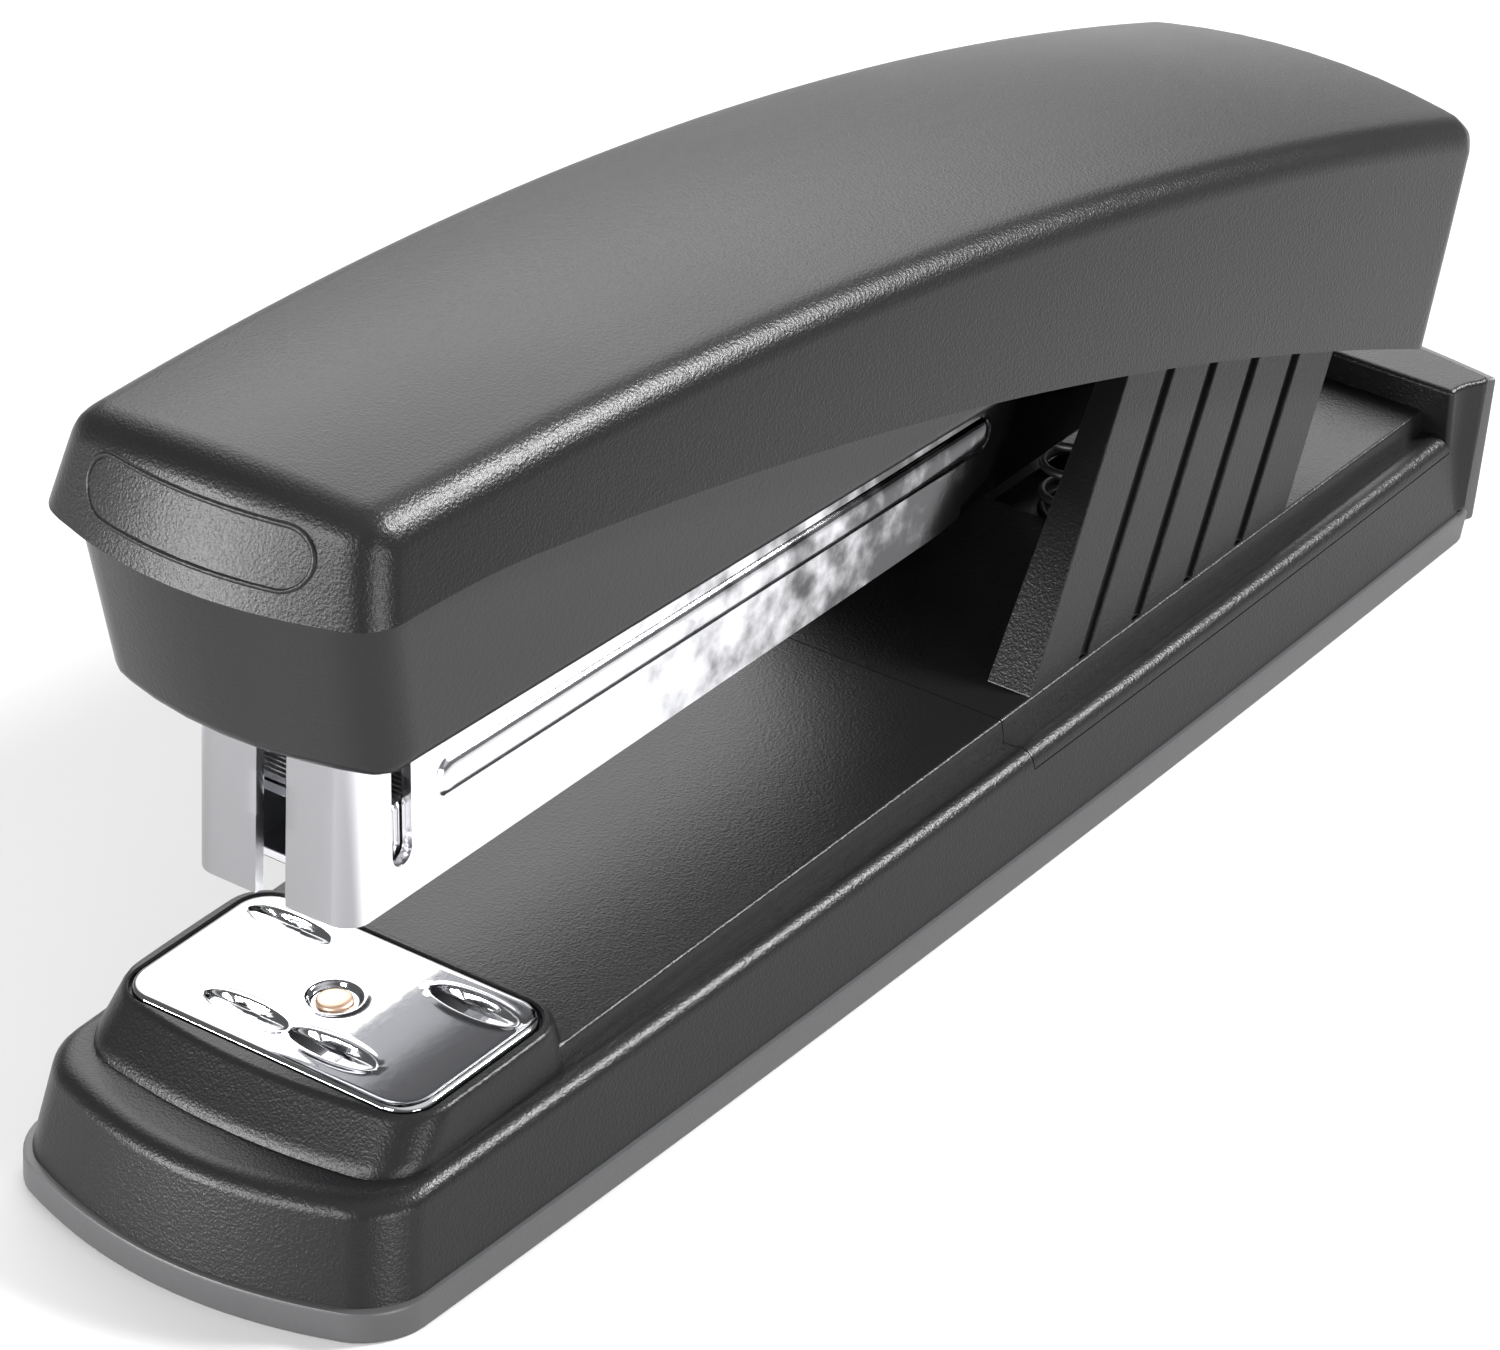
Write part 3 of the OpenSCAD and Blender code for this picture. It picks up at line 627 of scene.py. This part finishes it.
def rear_bracket():
    skirt = base_block()
    boolean(skirt, box("keep", (-40, SEAM + 0.05, 8.72), (40, 72.5, 40)), "INTERSECT")
    deck = deck_block()
    boolean(deck, box("keep", (-40, SEAM + 0.05, 0), (40, 120, 40)), "INTERSECT")
    body = boolean(skirt, deck, "UNION")
    boolean(body, hollow(0.0, 10.0))
    boolean(body, box("well", (-5.5, 35.5, 5), (5.5, 47, 30)))
    for lo, hi in ((-10.55, -9.25), (9.25, 10.55)):
        boolean(body, box("slot", (lo, 31, 5), (hi, 47, 30)))
    return join("rear_bracket", [body, rear_wall(), cheek(1), cheek(-1)])


def posts(y):
    """Screw posts under the deck, left and right."""
    z_low, z_top = 1.45, 10.2
    out = []
    for x in (-SCREW_X, SCREW_X):
        post = cylinder("post", (x, y, z_low), 2.9, z_top - z_low)
        boolean(post, cylinder("bore", (x, y, 0), 1.12, 7.4))
        out.append(post)
    return out


def foot_pan():
    loops = [base_loop(0.0, 0.12, FRONT + 0.15, 74.2), base_loop(0.25, 0.0, FRONT, 74.35),
             base_loop(2.3, 0.02, FRONT + 0.1, 75.2), base_loop(2.52, 0.12, FRONT + 0.2, 75.2),
             base_loop(2.6, 0.4, FRONT + 0.5, 75.0)]
    pan = rings("foot_pan", loops)
    boolean(pan, rings("inside", [plan(16.2, 16.9, -75.9, 72, 4.2, 1.7, 0.9, 3, 1.4),
                                  plan(16.2, 16.9, -75.9, 72, 4.2, 1.7, 0.9, 3, 4)]))
    boolean(pan, cylinder("button_hole", (0, ANVIL_Y, -1), 6.0, 5))
    for x in (-SCREW_X, SCREW_X):
        for y in (SCREW_FRONT, SCREW_REAR):
            boolean(pan, cylinder("hole", (x, y, -1), 1.55, 5, n=24))
            boolean(pan, cylinder("sink", (x, y, -1), 3.0, 1.6, n=32))
    pan = bevel(pan, 0.08, 1, 60, clamp=True)

    def skin(u, v, w):
        z = lerp(1.2, 14.2, w)
        out = rear_line(z)
        x_out = lerp(19.16, 19.1, w)
        x_in = x_out - 0.62
        inner = out - lerp(1.5, 1.08, w)
        x = u * lerp(x_in, x_out, v)
        return x, lerp(inner, out, v) - 1.7 * u * u, z

    us = [i / 10 - 1 for i in range(21)]
    verts, faces = cube_skin(skin, us, [0, 1], [i / 6 for i in range(7)])
    back = bevel(make("skin", verts, faces), 0.32, 4, 40)

    return join("foot_pan", [pan, back])


# ---- anvil -----------------------------------------------------------------

def groove_depth(x, y, cx, cy):
    """Almond groove with a round bottom and a raised lip."""
    half, wide, deep = 4.0, 1.2, 0.7
    t = abs(x - cx) / half
    if t >= 1.25:
        return 0.0
    w = wide * max(0.0, 1 - t * t) ** 0.5
    d = abs(y - cy)
    depth = 0.0
    if t < 1 and d < w:
        depth = -deep * (1 - t ** 2) ** 0.9 * min(1.0, (w - d) / 0.3)
    lip = 0.12 * math.exp(-((d - w - 0.25) / 0.3) ** 2) * max(0.0, 1 - (t / 1.15) ** 4)
    return depth + (lip if d >= w else 0.0)


def anvil_plate():
    cx, cy, top = 0.0, ANVIL_Y, 14.1
    grooves = [(s * 4.1, cy - 5.2) for s in (-1, 1)] + [(s * 8.8, cy + 5.3) for s in (-1, 1)]
    loops = []
    profile = [(13.9, 8.45, 13.42), (13.9, 8.45, 13.62), (13.83, 8.38, 13.84), (13.66, 8.21, 13.98),
               (13.4, 7.95, 14.07), (13.1, 7.65, 14.1)]
    for hx, hy, z in profile:
        loops.append([(cx + x, cy + y, z) for x, y in rounded_rect(hx, hy, 3.0 - (13.9 - hx) * 0.6, 20, 70)])
    rim = [(x - cx, y - cy) for x, y, z in loops[-1]]
    steps = 110
    for k in range(1, steps):
        s = 1 - k / steps
        loop = []
        for x, y in rim:
            px, py = cx + x * s, cy + y * s
            z = top + sum(groove_depth(px, py, gx, gy) for gx, gy in grooves)
            r = math.hypot(px - cx, py - cy)
            z -= 0.42 * (1 - smooth01((r - 1.75) / 0.45))
            z += 0.08 * math.exp(-((r - 2.3) / 0.25) ** 2)
            z = min(z, 14.2)
            loop.append((px, py, z))
        loops.append(loop)
    return rings("anvil_plate", loops)


def anvil_rivet():
    head = [(1.45, 13.5), (1.45, 13.78), (1.4, 13.95), (1.25, 14.05), (0.95, 14.1), (0.5, 14.11)]
    loops = [[(r * math.cos(a), ANVIL_Y + r * math.sin(a), z)
              for a in (2 * math.pi * i / 40 for i in range(40))] for r, z in head]
    shaft = cylinder("shaft", (0, ANVIL_Y, 5.1), 1.4, 8.5)
    return join("anvil_rivet", [rings("head", loops), shaft])


# ---- magazine --------------------------------------------------------------

def mag_bottom(y):
    """Lower edge of the magazine's side."""
    if y < 8:
        return lerp(26.2, 25.7, (y + 64.5) / 72.5)
    if y < 14:
        return lerp(25.7, 26.4, (y - 8) / 6)
    return lerp(26.4, 26.8, min((y - 14) / 32, 1)) if y < 46 else lerp(26.8, 29.5, min((y - 46) / 14, 1))


def mag_top(y):
    """Upper edge of the magazine's side."""
    if y < 18:
        return lerp(43.2, 41.8, (y + 64.5) / 82.5)
    return lerp(41.8, 36.6, min((y - 18) / 32, 1)) if y < 50 else 36.6


BEAD_ENDS = -53.4, 13.2


def bead_axis(y):
    return lerp(34.1, 32.35, (y + 53.4) / 66.6)


def bead_height(y, z):
    """Obround bead pressed out of the side wall."""
    y0, y1 = BEAD_ENDS
    z0, z1 = bead_axis(y0), bead_axis(y1)
    dy, dz = y1 - y0, z1 - z0
    t = min(max(((y - y0) * dy + (z - z0) * dz) / (dy * dy + dz * dz), 0), 1)
    d = math.hypot(y - y0 - t * dy, z - z0 - t * dz)
    return 0.55 * max(0.0, 1 - min(d / 1.5, 1) ** 2.4) ** 0.6


def magazine_skin():
    """One folded sheet: from the gap round the corner and along the side."""
    r, hx, y0 = 2.0, 7.5, -64.5
    path = [(1.38 + (hx - r - 1.38) * i / 4, y0, 0) for i in range(5)]
    for i in range(1, 9):
        a = math.pi / 2 * i / 8
        path.append((hx - r + r * math.sin(a), y0 + r - r * math.cos(a), math.sin(a)))
    ys = [-61.5, -60.5, -59, -57.5, -56]
    y = -55.4
    while y < -51:
        ys.append(y)
        y += 0.22
    while y < 10.4:
        ys.append(y)
        y += 2.2
    while y < 16:
        ys.append(y)
        y += 0.25
    ys += [18, 22, 28, 34, 40, 44, 46, 50, 54, 58, 60]
    path += [(hx, y, 1) for y in ys]
    offsets = [0.19 * i - 1.9 for i in range(21)]
    verts, faces = [], []
    lean = math.tan(math.radians(3))
    for x, y, nx in path:
        low, high = mag_bottom(y), mag_top(y)
        mid = [max(bead_axis(y) + k, low + 0.3 + 0.02 * i) for i, k in enumerate(offsets)]
        rows = [low, lerp(low, mid[0], 0.4), lerp(low, mid[0], 0.8)] + mid
        rows += [lerp(mid[-1], high, 0.2), lerp(mid[-1], high, 0.6), high]
        for zz in rows:
            lead = max(0.0, 1 - max(0.0, y + 64.5) / 7.0)
            yy = y + lead * (zz - 26.2) * lean
            out = bead_height(y, zz) if nx == 1 else 0
            verts.append((x + out * nx, yy, zz))
    n = len(rows)
    for i in range(len(path) - 1):
        for k in range(n - 1):
            a = i * n + k
            faces.append((a, a + n, a + n + 1, a + 1))
    return verts, faces


def magazine():
    slot_y, slot_low, slot_high, slot_r = -58.7, 30.2, 38.8, 1.1
    parts = []
    for side in (1, -1):
        verts, faces = magazine_skin()
        sheet = make("sheet", [(side * x, y, z) for x, y, z in verts], faces)
        bm = bmesh.new()
        bm.from_mesh(sheet.data)
        bmesh.ops.remove_doubles(bm, verts=bm.verts, dist=1e-6)
        bmesh.ops.recalc_face_normals(bm, faces=bm.faces)
        far = max(bm.faces, key=lambda f: abs(f.calc_center_median().x))
        if far.normal.x * side < 0:
            bmesh.ops.reverse_faces(bm, faces=bm.faces)
        bm.to_mesh(sheet.data)
        bm.free()
        mod = sheet.modifiers.new("thick", "SOLIDIFY")
        mod.thickness = 0.88 * MM
        mod.offset = -1
        mod.use_even_offset = True
        apply_mods(sheet)
        slot = [(slot_y + slot_r * math.cos(a), z + slot_r * math.sin(a))
                for z, start in ((slot_low, math.pi), (slot_high, 0))
                for a in (start + math.pi * i / 12 for i in range(13))]
        cut = prism("slot", slot, 6, 9, lambda x, y, z: (side * x, y, z))
        boolean(sheet, cut)
        mod = sheet.modifiers.new("bevel", "BEVEL")
        mod.width = 0.14 * MM
        mod.segments = 2
        mod.angle_limit = math.radians(50)
        apply_mods(sheet)
        boolean(sheet, cylinder("pin_bore", (5 if side > 0 else -9, PIN_Y, PIN_Z), 2.06, 4, "X"))
        parts.append(sheet)
    floor = box("floor", (-7.35, -60.4, 26.2), (7.35, 51.4, 27.08))
    parts.append(bevel(floor, 0.2, 2))
    return join("magazine_channel", parts)


def staples():
    """A glued strip: one wire after another."""
    verts, faces = [], []
    w, h, t, y0, z0 = 6.4, 6.4, 0.5, -60.35, 27.16
    pitch, count = 0.52, 99
    outer = [(-w, z0), (-w, z0 + h - 0.5), (-w + 0.15, z0 + h - 0.14), (-w + 0.5, z0 + h)]
    inner = [(-w + t, z0), (-w + t, z0 + h - 0.75), (-w + t + 0.07, z0 + h - t - 0.07),
             (-w + t + 0.25, z0 + h - t)]
    outer += [(-x, z) for x, z in reversed(outer)]
    inner += [(-x, z) for x, z in reversed(inner)]
    n = len(outer)
    for i in range(count):
        base = len(verts)
        ya, yb = y0 + i * pitch, y0 + i * pitch + 0.49
        for y, shrink in ((ya, 0.07), (ya + 0.08, 0), (yb - 0.08, 0), (yb, 0.07)):
            for (ox, oz), (ix, iz) in zip(outer, inner):
                mx, mz = (ox + ix) / 2, (oz + iz) / 2
                verts.append((lerp(ox, mx, shrink * 2), y, lerp(oz, mz, shrink * 2)))
                verts.append((lerp(ix, mx, shrink * 2), y, lerp(iz, mz, shrink * 2)))
        m = 2 * n
        for k in range(3):
            a, b = base + k * m, base + (k + 1) * m
            for j in range(n - 1):
                faces.append((a + 2 * j, a + 2 * j + 2, b + 2 * j + 2, b + 2 * j))
                faces.append((a + 2 * j + 1, b + 2 * j + 1, b + 2 * j + 3, a + 2 * j + 3))
            faces.append((a, b, b + 1, a + 1))
            faces.append((a + m - 2, a + m - 1, b + m - 1, b + m - 2))
        for k, flip in ((0, False), (3, True)):
            a = base + k * m
            for j in range(n - 1):
                f = (a + 2 * j, a + 2 * j + 1, a + 2 * j + 3, a + 2 * j + 2)
                faces.append(tuple(reversed(f)) if flip else f)
    return make("staple_strip", verts, faces, smooth=False)


# ---- handle ----------------------------------------------------------------

def top_line(y):
    """Height of the cover's back along its middle."""
    return -396.8 + math.sqrt(460 ** 2 - (y + 74.2) ** 2)


def low_line(y):
    """Height of the cover's lower rim: level in front, then an arc, with a soft bend between."""
    arc = -423.3 + math.sqrt(484 ** 2 - (y + 126.0) ** 2)
    flat = 56.2
    k = 0.9
    h = max(k - abs(arc - flat), 0) / k
    return min(arc, flat) - h * h * k * 0.25


def half_width(y, w):
    """Half the cover's width; w runs from 0 at the rim to 1 at the top."""
    t = min(max((y + 70) / 140, 0), 1)
    low = 15.35 + 2.45 * (1 - (1 - t) ** 1.6)
    top = 13.75 + 3.3 * (1 - (1 - t) ** 1.8)
    return lerp(low, top, w)


CROWN = 1.9


def cover_at(u, v, w, d=0.0, under=0.0):
    """Point of the cover's skin; d moves it inwards, under lowers the bottom."""
    yf = lerp(-73.5 + 3.5 * u * u, -70.1 + 1.9 * u * u, w) + d
    yr = lerp(67.4, 75.2, w) - 0.9 * u * u - d
    y = lerp(yf, yr, v)
    x = u * (half_width(y, w) - d)
    z = lerp(low_line(y) - under, top_line(y) - d + CROWN * (1 - u * u), w)
    return x, y, z


def top_cover():
    us = [-1, -0.8, -0.6, -0.4, -0.2, 0, 0.2, 0.4, 0.6, 0.8, 1]
    vs = [0, 0.024] + [0.024 + 0.952 * i / 40 for i in range(1, 40)] + [0.976, 1]
    ws = [0, 0.5, 1]
    t = 1.3
    outer, of = cube_skin(cover_at, us, vs, ws, skip=("bottom",))
    inner, inf = cube_skin(lambda u, v, w: cover_at(u, v, w, t), us, vs, ws, skip=("bottom",))
    # the rim joins both skins along the open bottom
    nu, nv = len(us) - 1, len(vs) - 1
    edge = [(i, 0) for i in range(nu)] + [(nu, j) for j in range(nv)]
    edge += [(i, nv) for i in range(nu, 0, -1)] + [(0, j) for j in range(nv, 0, -1)]
    verts = outer + inner
    faces = of + [tuple(i + len(outer) for i in reversed(f)) for f in inf]

    def find(points, offset, target):
        best = min(range(len(points)), key=lambda i: sum((a - b) ** 2 for a, b in zip(points[i], target)))
        return best + offset

    loop_o = [find(outer, 0, cover_at(us[i], vs[j], 0)) for i, j in edge]
    loop_i = [find(inner, len(outer), cover_at(us[i], vs[j], 0, t)) for i, j in edge]
    n = len(edge)
    faces += [(loop_o[k], loop_o[(k + 1) % n], loop_i[(k + 1) % n], loop_i[k]) for k in range(n)]
    obj = make("top_cover", verts, faces)

    def outer_edge(e):
        """The top's rim and the upright corners, not the open bottom."""
        both = {v.index for v in e.verts}
        return 1.0 if max(both) < len(outer) and not both <= set(loop_o) else 0.0

    weigh_edges(obj, outer_edge)
    bevel(obj, 2.3, 7, weight=True)
    bevel(obj, 0.3, 2, 48, clamp=True)
    # the rear wall stops short of the bracket when the handle swings up
    boolean(obj, box("rear_gap", (-14.9, 60, 5), (14.9, 90, 27)))
    return obj


def emblem_ring():
    """Plain obround line on the front face."""
    pts = []
    hx, hz = 10.0, 2.35
    n = 26
    flat = hx - hz
    for i in range(n + 1):
        a = -math.pi / 2 + math.pi * i / n
        pts.append((flat + hz * math.cos(a), hz * math.sin(a)))
    pts += [(flat - 2 * flat * i / 16, hz) for i in range(1, 16)]
    for i in range(n + 1):
        a = math.pi / 2 + math.pi * i / n
        pts.append((-flat + hz * math.cos(a), hz * math.sin(a)))
    pts += [(-flat + 2 * flat * i / 16, -hz) for i in range(1, 16)]
    path = []
    for px, pz in pts:
        z = 60.15 + pz * 0.93
        w = (z - 56.2) / (top_line(-70) - 56.2 + CROWN * (1 - (px / 14.6) ** 2))
        x, y, z = cover_at(px / 14.6, 0, w)
        path.append((px, y + 0.1, z))
    return tube("emblem_ring", path, 0.24, 8, closed=True)


def nose_housing():
    def at(u, v, w, d=0.0):
        yf = lerp(-69.35 + 2.8 * u * u, -71.95 + 2.7 * u * u, w) + d
        y = lerp(yf, 16.0 + (6 if d else 0), v)
        low = lerp(41.9, 38.55, min(max((y + 65) / 81, 0), 1)) - (4 if d else 0)
        t = min(max((y + 62) / 20, 0), 1)
        high = lerp(56.8, low_line(y) + 2.2, t) + (4 if d else 0)
        if y > -40:
            high = low_line(y) + 2.2 + (4 if d else 0)
        z = lerp(low, high, w)
        x = u * (lerp(13.05, 13.85, min(max((z - 41.9) / 14.5, 0), 1)) - d)
        return x, y, z
    us = [-1, -0.72, -0.5, -0.25, 0, 0.25, 0.5, 0.72, 1]
    vs = [0, 0.045] + [0.045 + 0.955 * i / 24 for i in range(1, 25)]
    ws = [0, 0.25, 0.5, 0.75, 1]
    verts, faces = cube_skin(lambda u, v, w: at(u, v, w), us, vs, ws)
    body = make("nose_housing", verts, faces)

    def nose_edge(e):
        """Full at the upright front corners, less along the lower rim."""
        a, b = (v.co / MM for v in e.verts)
        if abs(a.z - b.z) > 1.5 and max(a.y, b.y) < -55:
            return 1.0
        return 0.45 if max(a.z, b.z) < 44 and max(a.y, b.y) < 15.9 else 0.0

    weigh_edges(body, nose_edge)
    bevel(body, 3.0, 7, weight=True)
    iv, jf = cube_skin(lambda u, v, w: at(u, v, w, 1.5), us, vs, [0, 1])
    boolean(body, make("inner", iv, jf))
    ribs = []
    for s in (1, -1):
        for y, z in ((-41, 50.9), (-11, 47.8)):
            lo, hi = sorted((s * 9.12, s * 12.3))
            ribs.append(box("rib", (lo, y, z), (hi, y + 1.4, z + 3)))
    return join("nose_housing", [body] + ribs)


# ---- build -----------------------------------------------------------------

piece(soften(join("base_shell_full", [base_shell()] + posts(SCREW_FRONT))), "base", "black_plastic",
      "base_shell")
piece(soften(join("rear_bracket_full", [rear_bracket()] + posts(SCREW_REAR))), "base", "black_plastic",
      "rear_bracket")
piece(soften(foot_pan()), "base", "grey_plastic", "foot_pan")
piece(soften(anvil_plate(), 60), "anvil", "nickel", "anvil_plate")
piece(soften(anvil_rivet(), 50), "anvil", "copper", "anvil_rivet")
# the magazine's nickel carries painted shade: darker front tabs and a darkening towards the hinge
piece(soften(magazine(), 40), "magazine", "nickel", "magazine_channel", look="nickel_painted_shade")
piece(staples(), "magazine", "staple_wire", "staple_strip")
piece(soften(top_cover(), 40), "handle", "black_plastic", "top_cover")
piece(soften(emblem_ring(), 60), "handle", "black_plastic")
piece(soften(nose_housing(), 40), "handle", "smooth_black", "nose_housing")

spring = tube("return_coil", coil_path(lambda a, b, h: (a, 41 + b, 10.4 + h), 3.6, 7.5, 15.4), 0.38)
piece(spring, "base", "black_wire", "return_spring")
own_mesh(spring)
spring = tube("anvil_coil", coil_path(lambda a, b, h: (a, ANVIL_Y + b, 2.8 + h), 4.1, 4, 5.5), 0.32)
piece(spring, "base", "spring_steel", "anvil_spring")
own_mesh(spring)
spring = tube("pusher_coil", coil_path(lambda a, b, h: (a, -2.6 + h, 30 + b), 1.6, 26, 48.8), 0.24, 8)
piece(spring, "magazine", "spring_steel", "pusher_spring")
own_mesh(spring)

turns = [(-4.1 + 8.2 * i / 144, PIN_Y + 2.9 * math.cos(a), PIN_Z + 2.9 * math.sin(a))
         for i, a in enumerate(2 * math.pi * k / 16 - 1.7 for k in range(145))]
path = [(-4.1, 49.3, 27.55), (-4.1, 52.5, 28.9)] + turns + [(4.1, 50, 36.6), (4.1, 42.5, 38.7)]
piece(tube("torsion_coil", path, 0.4), "magazine", "spring_steel", "handle_spring")

SIMPLE = {
    "base_frame": ("base", "zinc_steel", 0.25), "base_screws": ("base", "bright_steel", 0.08),
    "hinge_pin": ("base", "bright_steel", 0.3), "pin_clips": ("base", "zinc_steel", 0.1),
    "anvil_button": ("lifter", "dark_plastic", 0.25), "staple_rail": ("magazine", "zinc_steel", 0.2),
    "pusher_rod": ("magazine", "bright_steel", 0.15), "pusher": ("pusher_body", "dark_plastic", 0.25),
    "handle_frame": ("handle", "zinc_steel", 0.25), "driver_blade": ("handle", "bright_steel", 0.08),
    "driver_rivets": ("handle", "bright_steel", 0.15), "cover_screw": ("handle", "bright_steel", 0.15),
}
for name, (body, slot_name, width) in SIMPLE.items():
    piece(refine(name, width), body, slot_name, name)

# ---- floor, light, camera ---------------------------------------------------

# The floor's tone falls off from FLOOR_NEAR to FLOOR_FAR on the right: painted shade on the floor, which
# tones down what the stapler's right side reflects.
FLOOR_NEAR, FLOOR_FAR = 0.56, 0.23
floor_mat, floor_tree, floor_shader = material("floor", (FLOOR_NEAR,) * 3, 0.9, spec=0.1)
floor_tex = node(floor_tree, "ShaderNodeTexCoord")
floor_far = node(floor_tree, "ShaderNodeVectorMath", operation="DOT_PRODUCT")
floor_far.inputs[1].default_value = (0.95, 0.3, 0)
floor_tree.links.new(floor_tex.outputs["Object"], floor_far.inputs[0])
floor_tone = remap(floor_tree, floor_far.outputs["Value"], 0.05, 0.2, FLOOR_NEAR, FLOOR_FAR)
floor_tree.links.new(floor_tone, floor_shader.inputs["Base Color"])
FLOOR_HALF, FLOOR_Z = 4000, -0.02
floor_corners = [(-FLOOR_HALF, -FLOOR_HALF), (FLOOR_HALF, -FLOOR_HALF),
                 (FLOOR_HALF, FLOOR_HALF), (-FLOOR_HALF, FLOOR_HALF)]
floor = make("floor", [(x, y, FLOOR_Z) for x, y in floor_corners], [(0, 1, 2, 3)])
floor.data.materials.append(floor_mat)

world = bpy.data.worlds.new("studio")
bpy.context.scene.world = world
world.use_nodes = True


def sky(parts, low):
    """Soft surroundings: low everywhere, brighter towards each (direction, strength, from, to)."""
    tree = world.node_tree
    background = tree.nodes["Background"]
    tex = node(tree, "ShaderNodeTexCoord")
    total = None
    for direction, strength, start, end in parts:
        dot = node(tree, "ShaderNodeVectorMath", operation="DOT_PRODUCT")
        dot.inputs[1].default_value = Vector(direction).normalized()
        tree.links.new(tex.outputs["Generated"], dot.inputs[0])
        glow = remap(tree, dot.outputs["Value"], start, end, 0, strength)
        if total is None:
            total = glow
        else:
            add = node(tree, "ShaderNodeMath", operation="ADD")
            tree.links.new(total, add.inputs[0])
            tree.links.new(glow, add.inputs[1])
            total = add.outputs[0]
    add = node(tree, "ShaderNodeMath", operation="ADD")
    add.inputs[1].default_value = low
    tree.links.new(total, add.inputs[0])
    background.inputs["Color"].default_value = (1, 1, 1, 1)
    tree.links.new(add.outputs[0], background.inputs["Strength"])


sky([((-0.47, 0.6, 0.64), 4.1, 0.79, 0.98), ((0.35, 0.1, 0.93), 0.8, 0.6, 0.95)], 0.15)


def softbox(name, direction, distance, look, width, height, power):
    """Area light of width by height at a distance from the point it looks at."""
    data = bpy.data.lights.new(name, "AREA")
    data.shape = "RECTANGLE"
    data.size, data.size_y = width, height
    data.energy = power
    lamp = bpy.data.objects.new(name, data)
    bpy.context.scene.collection.objects.link(lamp)
    lamp.location = Vector(look) + Vector(direction).normalized() * distance
    lamp.rotation_euler = (-Vector(direction)).to_track_quat("-Z", "Y").to_euler()
    return lamp


softbox("edge_light", (0.5, 0.6, 0.62), 0.7, (0.04, 0, 0.02), 0.15, 0.15, 9.5)
softbox("front_left", (-0.48, -0.86, 0.13), 0.8, (0, -0.06, 0.01), 0.4, 0.17, 9.0)
softbox("front", (0.0, -0.92, 0.42), 0.7, (0, -0.07, 0.03), 0.26, 0.24, 4.6)
softbox("right", (0.95, -0.3, 0.14), 0.7, (0.01, -0.06, 0.01), 0.25, 0.14, 2.6)

camera_data = bpy.data.cameras.new("camera")
camera = bpy.data.objects.new("camera", camera_data)
bpy.context.scene.collection.objects.link(camera)
bpy.context.scene.camera = camera
camera_data.lens = 150
camera_data.sensor_width = 36
camera_data.clip_start = 0.02
camera_data.clip_end = 20
azimuth, elevation, roll = map(math.radians, (35.899, 31.301, 0.901))
target = Vector((11.325, -22.239, 28.791)) * MM
distance = 0.467772
level = math.cos(elevation)
back = Vector((math.sin(azimuth) * level, -math.cos(azimuth) * level, math.sin(elevation)))
right = Vector((math.cos(azimuth), math.sin(azimuth), 0))
up = back.cross(right)
right, up = math.cos(roll) * right + math.sin(roll) * up, -math.sin(roll) * right + math.cos(roll) * up
turn = Matrix((right, up, back)).transposed()
camera.matrix_world = Matrix.Translation(target + back * distance) @ turn.to_4x4()

bpy.context.scene.view_settings.view_transform = "Standard"
